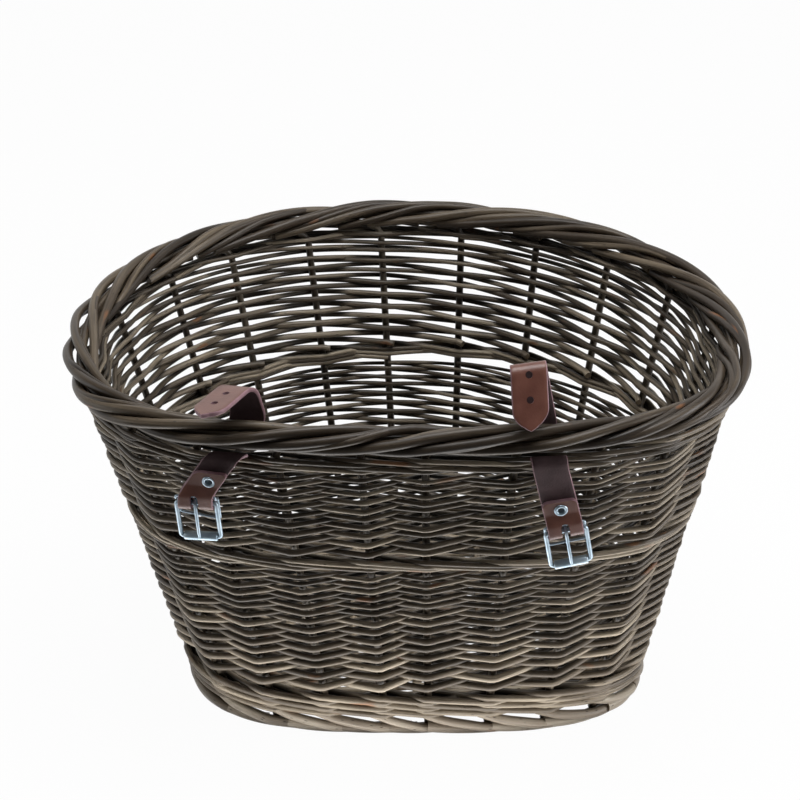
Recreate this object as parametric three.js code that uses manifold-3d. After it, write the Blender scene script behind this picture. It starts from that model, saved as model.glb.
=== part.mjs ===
// Wicker handlebar basket with two buckled leather straps.
// Millimetres, +Z up, +X right, -Y towards the handlebar (the flat side of the D-shaped plan).
import * as THREE from 'three';
import { mergeVertices } from 'three/addons/utils/BufferGeometryUtils.js';
import Module from 'manifold-3d';

const wasm = await Module();
wasm.setup();

// Clearance left between pieces that touch.
const GAP = 0.3;

// Plan of the stakes: half width, depth to the handlebar side and depth to the front.
const RIM_HALF_WIDTH = 192;
const RIM_BACK = 119;
const RIM_FRONT = 161;
const BASE_HALF_WIDTH = 135;
const BASE_BACK = 75;
const BASE_FRONT = 124;
// The basket leans a little: the middle of its base stands this far to the right of the middle of its rim.
const BASE_SHIFT = 6.5;
// Powers of the plan curve: the handlebar side is flattened, the front is round.
const RIM_BACK_POWER = 2.9;
const BASE_BACK_POWER = 3.1;
const FRONT_POWER = 2;

// Heights of the bands from the ground up; the upper weave fills what they leave of HEIGHT.
const HEIGHT = 246;
const FOOT_HEIGHT = 10.5;
const FOOT_SPACE = 6;
const BOTTOM_WALE_HEIGHT = 20.5;
const LOWER_WEAVE_HEIGHT = 101;
const MIDDLE_WALE_HEIGHT = 11.5;
const TOP_WALE_HEIGHT = 11.5;
const BORDER_HEIGHT = 17.5;

// Half thickness of the woven walls and borders, and how far the foot border stands outside the stakes.
const WEAVE_HALF = 6;
const WALE_HALF = 7;
const BORDER_HALF = 9;
const FOOT_HALF = 6;
const FOOT_OUT = 2;

const STAKE_RADIUS = 2.5;
const STAKE_SIDES = 6;
// Where the stakes stand, as fractions of the way round from the middle of the handlebar side.
const STAKE_AT = [
  0.009, 0.056, 0.101, 0.143, 0.185, 0.222, 0.268, 0.320, 0.370, 0.419, 0.467,
  0.517, 0.563, 0.614, 0.659, 0.711, 0.758, 0.803, 0.847, 0.888, 0.931, 0.975,
];

// Base: how far it lies above the bottom edge of the wall, its thickness and its sticks.
const BASE_LIFT = 1.5;
const BASE_THICKNESS = 9;
const BASE_STICK_RADIUS = 3;
const BASE_STICK_COUNT = 5;

// Leather straps.
const STRAP_WIDTH = 20;
const STRAP_THICKNESS = 2.5;
// Radius of the bends under the border, and the straight length below the outer one.
const STRAP_BEND = 3;
const STRAP_STRAIGHT = 2.2;
// Room beside a strap where it goes through the wall.
const SLOT_ROOM = 4;
// How far below the top of the border the free end of a strap starts to flex.
const TAIL_BELOW_RIM = 3;
const STRAP_TIP = 11;
const STRAP_HOLE_RADIUS = 1.7;
const STRAP_HOLES_FROM_TIP = [19, 32];
// Lean of the hanging part inwards, along the flare of the wall.
const TAB_TILT = 6;
// Flap turned up round the heel bar: its length, where it closes on the strap behind it, and its corners.
const FLAP_LENGTH = 22.5;
const FLAP_CLOSED = 13;
const FLAP_CORNER = 3;
// Height above the heel bar at which a hanging strap starts to lean to one side.
const LEAN_FROM = 6.5;
const PRONG_SLOT_UP = 6.4;
const PRONG_SLOT_ROOM = 0.9;
const EYELET_RADIUS = 3.9;
const EYELET_BORE = 1.9;
const EYELET_WALL = 1;
const EYELET_RIM = 0.5;
const EYELET_CROWN = 0.4;
const EYELET_UP = 16.5;

// Left strap: place along the rim, drop of its heel bar below the border, rise of its free end above
// the rim, radius of that end's fold and length beyond the fold.
const LEFT_AT = -94.2;
const LEFT_HEEL_DROP = 34;
const LEFT_RISE = 9;
const LEFT_FOLD = 9.5;
const LEFT_TAIL = 45;
// Right strap, in the same order.
const RIGHT_AT = 76.1;
const RIGHT_HEEL_DROP = 50;
const RIGHT_RISE = 28.7;
const RIGHT_FOLD = 4.5;
const RIGHT_TAIL = 33.5;
// Angles in degrees: sideways lean in the slot, of the hanging part, of the buckle and of the rising end;
// tilt and turn of the crease that the end folds over, and how far it folds.
const SIDES = [
  {
    name: 'left', at: LEFT_AT, heelDrop: LEFT_HEEL_DROP, rise: LEFT_RISE, fold: LEFT_FOLD, tail: LEFT_TAIL,
    slotLean: -13.5, tabLean: -41, hang: 3, tailLean: 5, crease: 11, turn: 20, bend: 76,
  },
  {
    name: 'right', at: RIGHT_AT, heelDrop: RIGHT_HEEL_DROP, rise: RIGHT_RISE, fold: RIGHT_FOLD, tail: RIGHT_TAIL,
    slotLean: 7.5, tabLean: 14, hang: 10.7, tailLean: 11, crease: 6, turn: 0, bend: 149,
  },
];

// Wire roller buckle: sizes between wire centres, and how far its side wires stand from the strap.
const WIRE_RADIUS = 1.1;
const BUCKLE_SIDE = 1.4;
const BUCKLE_LENGTH = 24;
const BUCKLE_CORNER = 1.6;
const ROLLER_RADIUS = 2.4;
const ROLLER_PLAY = 0.4;
const PRONG_RADIUS = 1;
// The prong ends this far short of the roller's middle, lying on the roller's front.
const PRONG_SHORT = 1.8;
const KEEPER_RADIUS = 0.8;
const KEEPER_SIDE = 1.3;
const KEEPER_DROP = 7.6;
const KEEPER_BACK = 4.9;
const KEEPER_CORNER = 1.6;

// Levels that follow from the heights.
const BOTTOM_WALE_LOW = FOOT_HEIGHT + FOOT_SPACE;
const LOWER_WEAVE_LOW = BOTTOM_WALE_LOW + BOTTOM_WALE_HEIGHT;
const MIDDLE_WALE_LOW = LOWER_WEAVE_LOW + LOWER_WEAVE_HEIGHT;
const UPPER_WEAVE_LOW = MIDDLE_WALE_LOW + MIDDLE_WALE_HEIGHT;
const BORDER_LOW = HEIGHT - BORDER_HEIGHT;
const TOP_WALE_LOW = BORDER_LOW - TOP_WALE_HEIGHT;
const BASE_LOW = BOTTOM_WALE_LOW + BASE_LIFT;

const rad = THREE.MathUtils.degToRad;
const vec = (x, y, z) => new THREE.Vector3(x, y, z);
// The widest line of the plan is set so that the border is centred on the origin.
const WIDE_Y = (RIM_BACK - RIM_FRONT) / 2;

function material(name, color, roughness, metalness) {
  return () => {
    const made = new THREE.MeshStandardMaterial({ color, roughness, metalness });
    made.name = name;
    return made;
  };
}
const willow = material('willow', 0x6b6052, 0.72, 0);
const willowBorder = material('willow_border', 0x64584a, 0.68, 0);
const leather = material('leather', 0x57382f, 0.5, 0);
const steel = material('plated_steel', 0xc8ced4, 0.28, 1);

const group = new THREE.Group();
group.name = 'handlebar_basket';

function add(name, geometry, makeMaterial) {
  const mesh = new THREE.Mesh(geometry, makeMaterial());
  mesh.name = name;
  group.add(mesh);
  return mesh;
}

// Skin over a row of sections with equal point counts; a closed row joins its last section to its first.
function loft(sections, closed = false) {
  const n = sections[0].length;
  const positions = sections.flat().flatMap((p) => [p.x, p.y, p.z]);
  const index = [];
  const rows = closed ? sections.length : sections.length - 1;
  for (let i = 0; i < rows; i += 1) {
    const a = i * n;
    const b = ((i + 1) % sections.length) * n;
    for (let j = 0; j < n; j += 1) {
      const k = (j + 1) % n;
      index.push(a + j, b + j, b + k, a + j, b + k, a + k);
    }
  }
  if (!closed) {
    const last = (sections.length - 1) * n;
    for (let j = 1; j < n - 1; j += 1) {
      index.push(0, j, j + 1, last, last + j + 1, last + j);
    }
  }
  const geometry = new THREE.BufferGeometry();
  geometry.setAttribute('position', new THREE.Float32BufferAttribute(positions, 3));
  geometry.setIndex(index);
  return outward(geometry);
}

// Turns the faces round when the solid would be inside out.
function outward(geometry) {
  const p = geometry.getAttribute('position');
  const index = geometry.getIndex().array;
  const [a, b, c] = [vec(), vec(), vec()];
  let volume = 0;
  for (let i = 0; i < index.length; i += 3) {
    a.fromBufferAttribute(p, index[i]);
    b.fromBufferAttribute(p, index[i + 1]);
    c.fromBufferAttribute(p, index[i + 2]);
    volume += a.dot(b.cross(c));
  }
  if (volume < 0) {
    for (let i = 0; i < index.length; i += 3) {
      [index[i + 1], index[i + 2]] = [index[i + 2], index[i + 1]];
    }
  }
  geometry.computeVertexNormals();
  return geometry;
}

function toManifold(geometry) {
  const plain = geometry.clone();
  plain.deleteAttribute('normal');
  plain.deleteAttribute('uv');
  const welded = mergeVertices(plain, 1e-4);
  return new wasm.Manifold(new wasm.Mesh({
    numProp: 3,
    vertProperties: Float32Array.from(welded.getAttribute('position').array),
    triVerts: Uint32Array.from(welded.getIndex().array),
  }));
}

function cut(geometry, tools) {
  let solid = toManifold(geometry);
  for (const tool of tools) solid = solid.subtract(toManifold(tool));
  const mesh = solid.getMesh();
  const made = new THREE.BufferGeometry();
  made.setAttribute('position', new THREE.Float32BufferAttribute(mesh.vertProperties, 3));
  made.setIndex(Array.from(mesh.triVerts));
  made.computeVertexNormals();
  return made;
}

// Round rod along a row of points; the cross-section keeps to the given side direction.
function rod(points, radius, sides, sideDirection, closed = false) {
  const count = points.length;
  const sections = points.map((p, i) => {
    const before = closed ? points[(i + count - 1) % count] : points[Math.max(i - 1, 0)];
    const after = closed ? points[(i + 1) % count] : points[Math.min(i + 1, count - 1)];
    const along = after.clone().sub(before).normalize();
    const side = sideDirection.clone().addScaledVector(along, -sideDirection.dot(along)).normalize();
    const up = along.clone().cross(side);
    // Mitre: the section is stretched in the plane of a bend so that the rod keeps its thickness.
    const leave = after.clone().sub(p);
    const ends = !closed && (i === 0 || i === count - 1);
    const stretch = ends ? 1 : 1 / Math.max(leave.normalize().dot(along), 0.5);
    return Array.from({ length: sides }, (_, j) => {
      const angle = (2 * Math.PI * (j + 0.5)) / sides;
      return p.clone()
        .addScaledVector(side, radius * Math.cos(angle))
        .addScaledVector(up, radius * stretch * Math.sin(angle));
    });
  });
  return loft(sections, closed);
}

// Plan curve sampled by arc length from the middle of the handlebar side, towards +X first.
function planCurve(halfWidth, back, front, backPower, shift) {
  const dense = [];
  const steps = 1440;
  for (let i = 0; i <= steps; i += 1) {
    const angle = (2 * Math.PI * i) / steps;
    const s = Math.sin(angle);
    const c = Math.cos(angle);
    const power = c > 0 ? backPower : FRONT_POWER;
    const depth = c > 0 ? -back : front;
    const x = shift + halfWidth * Math.sign(s) * Math.abs(s) ** (2 / power);
    dense.push(new THREE.Vector2(x, WIDE_Y + depth * Math.abs(c) ** (2 / power)));
  }
  const lengths = [0];
  for (let i = 1; i < dense.length; i += 1) {
    lengths.push(lengths[i - 1] + dense[i].distanceTo(dense[i - 1]));
  }
  const total = lengths[steps];
  return (fraction) => {
    const want = (((fraction % 1) + 1) % 1) * total;
    let low = 0;
    let high = steps;
    while (high - low > 1) {
      const mid = (low + high) >> 1;
      if (lengths[mid] <= want) low = mid;
      else high = mid;
    }
    const part = (want - lengths[low]) / (lengths[high] - lengths[low]);
    return dense[low].clone().lerp(dense[high], part);
  };
}

const rimCurve = planCurve(RIM_HALF_WIDTH, RIM_BACK, RIM_FRONT, RIM_BACK_POWER, 0);
const baseCurve = planCurve(BASE_HALF_WIDTH, BASE_BACK, BASE_FRONT, BASE_BACK_POWER, BASE_SHIFT);

// Outward direction of the wall in plan.
function outwardAt(fraction) {
  const ahead = rimCurve(fraction + 0.004).sub(rimCurve(fraction - 0.004));
  const aheadBase = baseCurve(fraction + 0.004).sub(baseCurve(fraction - 0.004));
  ahead.normalize().add(aheadBase.normalize()).normalize();
  return new THREE.Vector2(ahead.y, -ahead.x);
}

// Point on the wall: along a stake line, moved outwards by off.
function wall(fraction, z, off = 0) {
  const p = baseCurve(fraction).lerp(rimCurve(fraction), z / HEIGHT);
  p.addScaledVector(outwardAt(fraction), off);
  return vec(p.x, p.y, z);
}

// Two ring sections per gap between stakes, the first of each pair at a stake.
const RING_AT = STAKE_AT.flatMap((at, i) => {
  const next = i + 1 < STAKE_AT.length ? STAKE_AT[i + 1] : STAKE_AT[0] + 1;
  return [at, (at + next) / 2];
});

// Ring swept round the wall; the profile is a loop of [off, z] points.
function ring(profile) {
  return loft(RING_AT.map((at) => profile.map(([off, z]) => wall(at, z, off))), true);
}

function band(low, high, half) {
  return [[-half, low], [half, low], [half, high], [-half, high]];
}

// Wale profile: bulged in the middle of its height.
function wale(low, high, half, edge) {
  const mid = (low + high) / 2;
  return [[-edge, low], [edge, low], [half, mid], [edge, high], [-edge, high], [-half, mid]];
}

// Eight-cornered roll, flat below and above; its sides are upright between the two cut levels.
const ROLL_CUT = 0.27;
function roll(low, high, out, half) {
  const flat = half * 0.5;
  const lowCut = low + (high - low) * ROLL_CUT;
  const highCut = high - (high - low) * ROLL_CUT;
  return [
    [out - flat, low], [out + flat, low], [out + half, lowCut], [out + half, highCut],
    [out + flat, high], [out - flat, high], [out - half, highCut], [out - half, lowCut],
  ];
}

// Faceted stake with level ends, along a stake line.
function stake(at, low, high, radius) {
  return loft([low, high].map((z) => Array.from({ length: STAKE_SIDES }, (_, j) => {
    const angle = (2 * Math.PI * (j + 0.5)) / STAKE_SIDES;
    return wall(at, z).add(vec(radius * Math.cos(angle), radius * Math.sin(angle), 0));
  })));
}

const channels = STAKE_AT.map((at) => {
  const wide = STAKE_RADIUS + GAP / Math.cos(Math.PI / STAKE_SIDES);
  return stake(at, FOOT_HEIGHT, HEIGHT, wide);
});

// Straps: a local frame on the wall at each one, with o outwards, x along the wall and z up.
function strapFrame(side) {
  let fraction = 0;
  let best = Infinity;
  for (let i = -250; i <= 250; i += 1) {
    const away = Math.abs(wall(i / 1000, HEIGHT).x - side.at);
    if (away < best) {
      best = away;
      fraction = i / 1000;
    }
  }
  const n = outwardAt(fraction);
  const origin = wall(fraction, HEIGHT);
  const out = vec(n.x, n.y, 0);
  const along = vec(-n.y, n.x, 0);
  const place = (o, x, z) => vec(origin.x, origin.y, z).addScaledVector(out, o).addScaledVector(along, x);
  // Innermost reach of the border behind the strap, which the strap has to clear.
  let inner = 0;
  for (let i = -50; i <= 50; i += 1) {
    for (const z of [BORDER_LOW + BORDER_HEIGHT * ROLL_CUT, HEIGHT]) {
      const p = wall(fraction + i / 1000, z, -BORDER_HALF).sub(vec(origin.x, origin.y, z));
      if (Math.abs(p.dot(along)) < STRAP_WIDTH / 2 + SLOT_ROOM) inner = Math.min(inner, p.dot(out));
    }
  }
  return { out, along, place, insideO: inner - 2 * GAP - STRAP_THICKNESS / 2 };
}

const SLOT_Z = BORDER_LOW - 2 * GAP - STRAP_THICKNESS / 2;
const WALL_O = WEAVE_HALF - (1 - SLOT_Z / HEIGHT) * (RIM_BACK - BASE_BACK);
const OUTSIDE_O = WALL_O + STRAP_THICKNESS / 2 + 2 * GAP;
const TAIL_LOW = HEIGHT - TAIL_BELOW_RIM;
const TAB_HIGH = SLOT_Z - STRAP_BEND - STRAP_STRAIGHT;
const UP = vec(0, 0, 1);
const slope = (degrees) => Math.tan(rad(degrees));

// Notch under the border where a strap goes through the wall.
function notch(side) {
  const { place } = strapFrame(side);
  const half = STRAP_WIDTH / 2 + SLOT_ROOM;
  const reach = 4 * WEAVE_HALF;
  const floor = SLOT_Z - STRAP_THICKNESS / 2 - 3 * GAP;
  const sections = [-half, half].map((x) => [
    place(-reach, x, floor), place(reach, x, floor), place(reach, x, HEIGHT), place(-reach, x, HEIGHT),
  ]);
  return loft(sections);
}

// Ribbon through stations of centre, width direction and width; thin is the share of the full thickness.
function ribbon(stations) {
  const count = stations.length;
  const sections = stations.map((s, i) => {
    const before = stations[Math.max(i - 1, 0)].centre;
    const after = stations[Math.min(i + 1, count - 1)].centre;
    const along = after.clone().sub(before).normalize();
    const face = along.clone().cross(s.across).normalize();
    const ends = i === 0 || i === count - 1;
    const leave = after.clone().sub(s.centre).normalize();
    const mitre = ends ? 1 : 1 / Math.max(leave.dot(along), 0.5);
    const half = (STRAP_THICKNESS / 2) * mitre * (s.thin ?? 1);
    const corner = (u, v) => s.centre.clone()
      .addScaledVector(s.across, (u * s.width) / 2)
      .addScaledVector(face, v * half);
    return [corner(-1, -1), corner(1, -1), corner(1, 1), corner(-1, 1)];
  });
  return loft(sections);
}

// Rounded end where a strap flexes: distance in from the end and share of the full thickness there.
const ROUNDED = [12, 38, 64, 90].map((angle) => ({
  inset: (STRAP_THICKNESS / 2) * (1 - Math.cos(rad(angle))),
  thin: Math.sin(rad(angle)),
}));
function roundedEnd(end, heading, across) {
  return ROUNDED.map(({ inset, thin }) => ({
    centre: end.clone().addScaledVector(heading, inset), across, width: STRAP_WIDTH, thin,
  }));
}

function arc(o, z, radius, from, to, steps) {
  return Array.from({ length: steps + 1 }, (_, i) => {
    const angle = rad(from + ((to - from) * i) / steps);
    return [o + radius * Math.cos(angle), z + radius * Math.sin(angle)];
  });
}

// The strap piece held in the slot, from inside above to outside below: rows of [o, z, thin].
function middleRows(insideO) {
  const inner = ROUNDED.map(({ inset, thin }) => [insideO, TAIL_LOW - GAP - inset, thin]);
  const outer = ROUNDED.map(({ inset, thin }) => [OUTSIDE_O, TAB_HIGH + GAP + inset, thin]);
  return [
    ...inner,
    ...arc(insideO + STRAP_BEND, SLOT_Z + STRAP_BEND, STRAP_BEND, 180, 270, 4),
    ...arc(OUTSIDE_O - STRAP_BEND, SLOT_Z - STRAP_BEND, STRAP_BEND, 90, 0, 4),
    ...outer.reverse(),
  ];
}

// Stations of that piece: it leans sideways by the distance run from the middle of the slot.
function middleStations(side) {
  const { place, along, insideO } = strapFrame(side);
  const rows = middleRows(insideO);
  const runs = [0];
  for (let i = 1; i < rows.length; i += 1) {
    runs.push(runs[i - 1] + Math.hypot(rows[i][0] - rows[i - 1][0], rows[i][1] - rows[i - 1][1]));
  }
  const middle = runs[runs.length - 1] / 2;
  return rows.map(([o, z, thin], i) => ({
    centre: place(o, (runs[i] - middle) * slope(side.slotLean), z), across: along, width: STRAP_WIDTH, thin,
  }));
}

// Cutter through a strap at a station, square to its face.
function punch(centre, face, across, radius, depth) {
  const ends = [-depth, depth].map((d) => centre.clone().addScaledVector(face, d));
  return rod(ends, radius, 8, across);
}

// Free end of a strap: it rises behind the border, folds over a crease and ends in a rounded tip.
function tail(side) {
  const { out, along } = strapFrame(side);
  const lean = rad(-side.tailLean);
  const rising = UP.clone().multiplyScalar(Math.cos(lean)).addScaledVector(along, Math.sin(lean));
  const start = middleStations(side)[0].centre;
  start.z = TAIL_LOW;
  const stations = roundedEnd(start, rising, along);
  const crease = along.clone().multiplyScalar(Math.cos(rad(side.crease)))
    .addScaledVector(UP, Math.sin(rad(side.crease)))
    .applyAxisAngle(UP, -rad(side.turn));
  const height = (HEIGHT + side.rise - TAIL_LOW) / Math.cos(lean);
  const riseSteps = 5;
  for (let i = 1; i <= riseSteps; i += 1) {
    const part = i / riseSteps;
    stations.push({
      centre: start.clone().addScaledVector(rising, STRAP_THICKNESS / 2 + (height - STRAP_THICKNESS / 2) * part),
      across: along.clone().lerp(crease, part * part * (3 - 2 * part)).normalize(),
      width: STRAP_WIDTH,
    });
  }
  // The fold turns the climb forward over the crease and drifts along it as the rising part did.
  const climb = rising.clone().addScaledVector(crease, -rising.dot(crease));
  const drift = rising.dot(crease) / climb.length();
  climb.normalize();
  const forward = climb.clone().cross(crease);
  if (forward.dot(out) < 0) forward.negate();
  const top = stations[stations.length - 1].centre;
  const foldSteps = 8;
  for (let i = 1; i <= foldSteps; i += 1) {
    const angle = rad((side.bend * i) / foldSteps);
    stations.push({
      centre: top.clone()
        .addScaledVector(climb, side.fold * Math.sin(angle))
        .addScaledVector(forward, side.fold * (1 - Math.cos(angle)))
        .addScaledVector(crease, drift * side.fold * angle),
      across: crease,
      width: STRAP_WIDTH,
    });
  }
  const angle = rad(side.bend);
  const heading = climb.clone().multiplyScalar(Math.cos(angle))
    .addScaledVector(forward, Math.sin(angle))
    .addScaledVector(crease, drift);
  const bent = stations[stations.length - 1].centre;
  const tip = [[1, 1], [0.45, 0.78], [0.12, 0.42], [0, 0.16]];
  for (const [before, width] of tip) {
    stations.push({
      centre: bent.clone().addScaledVector(heading, side.tail - STRAP_TIP * before),
      across: crease,
      width: STRAP_WIDTH * width,
    });
  }
  const holes = STRAP_HOLES_FROM_TIP.map((distance) => {
    const at = bent.clone().addScaledVector(heading, side.tail - distance);
    return punch(at, heading.clone().cross(crease).normalize(), crease, STRAP_HOLE_RADIUS, STRAP_THICKNESS);
  });
  return cut(ribbon(stations), holes);
}

// Distance from the heel bar's middle to the middle of the leather that goes round it.
const LAYER = WIRE_RADIUS + 1.4 * GAP + STRAP_THICKNESS / 2;

const baseRow = (z, off) => RING_AT.map((at) => wall(at, z, off));

// Woven base: a slab that fits inside the bottom wale.
function baseSlab() {
  const high = BASE_LOW + BASE_THICKNESS;
  return loft([baseRow(BASE_LOW, -WALE_HALF - GAP), baseRow(high, -WALE_HALF - GAP)]);
}

function baseSticks() {
  const middle = BASE_LOW + BASE_THICKNESS / 2;
  const reach = 2 * BASE_HALF_WIDTH;
  return Array.from({ length: BASE_STICK_COUNT }, (_, i) => {
    const x = BASE_SHIFT + (BASE_HALF_WIDTH * 1.5 * (i - (BASE_STICK_COUNT - 1) / 2)) / BASE_STICK_COUNT;
    return { x, middle, reach };
  });
}

// Where a line of constant x crosses the inside of the base, on the back and the front.
function baseSpan(x) {
  const inside = baseRow(BASE_LOW, -WALE_HALF - GAP);
  const ys = [];
  inside.forEach((p, i) => {
    const q = inside[(i + 1) % inside.length];
    if ((p.x - x) * (q.x - x) <= 0 && p.x !== q.x) ys.push(p.y + ((q.y - p.y) * (x - p.x)) / (q.x - p.x));
  });
  return [Math.min(...ys), Math.max(...ys)];
}

const sticks = baseSticks();
const stickChannels = sticks.map(({ x, middle, reach }) => {
  const wide = BASE_STICK_RADIUS + GAP / Math.cos(Math.PI / 8);
  return rod([vec(x, -reach, middle), vec(x, reach, middle)], wide, 8, vec(1, 0, 0));
});
add('base_weave', cut(baseSlab(), stickChannels), willow);
sticks.forEach(({ x, middle }, i) => {
  const [y0, y1] = baseSpan(x);
  const ends = [vec(x, y0 + 1, middle), vec(x, y1 - 1, middle)];
  add(`base_stick_${i + 1}`, rod(ends, BASE_STICK_RADIUS, 8, vec(1, 0, 0)), willow);
});

add('foot_border', ring(roll(0, FOOT_HEIGHT, FOOT_OUT, FOOT_HALF)), willowBorder);
const seam = GAP / 2;
const walls = [
  ['bottom_wale', wale(BOTTOM_WALE_LOW, LOWER_WEAVE_LOW - seam, WALE_HALF, WEAVE_HALF)],
  ['lower_weave', band(LOWER_WEAVE_LOW + seam, MIDDLE_WALE_LOW - seam, WEAVE_HALF)],
  ['middle_wale', wale(MIDDLE_WALE_LOW + seam, UPPER_WEAVE_LOW - seam, WALE_HALF, WEAVE_HALF)],
  ['upper_weave', band(UPPER_WEAVE_LOW + seam, TOP_WALE_LOW - seam, WEAVE_HALF)],
];
for (const [name, profile] of walls) add(name, cut(ring(profile), channels), willow);
const topWale = ring(band(TOP_WALE_LOW + seam, BORDER_LOW - GAP, WEAVE_HALF));
add('top_wale', cut(topWale, [...channels, ...SIDES.map(notch)]), willow);
add('rim_border', ring(roll(BORDER_LOW, HEIGHT, 0, BORDER_HALF)), willowBorder);

STAKE_AT.forEach((at, i) => {
  const name = `stake_${String(i + 1).padStart(2, '0')}`;
  add(name, stake(at, FOOT_HEIGHT + GAP, BORDER_LOW - GAP, STAKE_RADIUS), willow);
});

// Rounded wire rectangle in the u (across), q (down) plane, with extra points on its sides at kinks.
function wireLoop(halfWidth, top, bottom, corner, steps, place, kinks = []) {
  const points = [];
  const centres = [
    [halfWidth - corner, bottom - corner, 0], [corner - halfWidth, bottom - corner, 90],
    [corner - halfWidth, top + corner, 180], [halfWidth - corner, top + corner, 270],
  ];
  for (const [u, q, from] of centres) {
    for (const [du, dq] of arc(u, q, corner, from, from + 90, steps)) points.push(place(du, dq));
    if (from === 90) kinks.forEach((kink) => points.push(place(-halfWidth, kink)));
    if (from === 270) kinks.forEach((kink) => points.push(place(halfWidth, kink)));
  }
  return points;
}

const BUCKLE_HALF_WIDTH = STRAP_WIDTH / 2 + BUCKLE_SIDE;
const KEEPER_HALF_WIDTH = STRAP_WIDTH / 2 + KEEPER_SIDE;
const ROLLER_HALF_LENGTH = BUCKLE_HALF_WIDTH - BUCKLE_CORNER - ROLLER_PLAY / 2;

// Frame of a buckle: u across the strap, q down from the heel bar, p outwards.
function buckleFrame(side) {
  const { place, along, out } = strapFrame(side);
  const tabTop = middleStations(side).at(-1).centre;
  tabTop.z = TAB_HIGH;
  const heelZ = BORDER_LOW - side.heelDrop;
  const drop = TAB_HIGH - heelZ;
  const tilt = rad(TAB_TILT);
  const hang = rad(side.hang);
  const shear = slope(side.tabLean - side.hang);
  const sideways = (drop - LEAN_FROM) * shear + drop * Math.tan(hang);
  const heel = tabTop.clone()
    .addScaledVector(along, sideways)
    .addScaledVector(out, LAYER - drop * Math.tan(tilt));
  heel.z = heelZ;
  const fall = place(-Math.sin(tilt), 0, -Math.cos(tilt)).sub(place(0, 0, 0));
  const down = fall.clone().multiplyScalar(Math.cos(hang)).addScaledVector(along, Math.sin(hang));
  const across = along.clone().multiplyScalar(Math.cos(hang)).addScaledVector(fall, -Math.sin(hang));
  const front = down.clone().cross(across);
  if (front.dot(out) < 0) front.negate();
  const at = (u, q, p) => heel.clone()
    .addScaledVector(across, u).addScaledVector(down, q).addScaledVector(front, p);
  // Middle line of the strap, which leans sideways above the buckle.
  const strapAt = (q, p) => at(Math.min(q + LEAN_FROM, 0) * shear, q, p);
  return { tabTop, along, across, down, front, at, strapAt };
}

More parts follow.
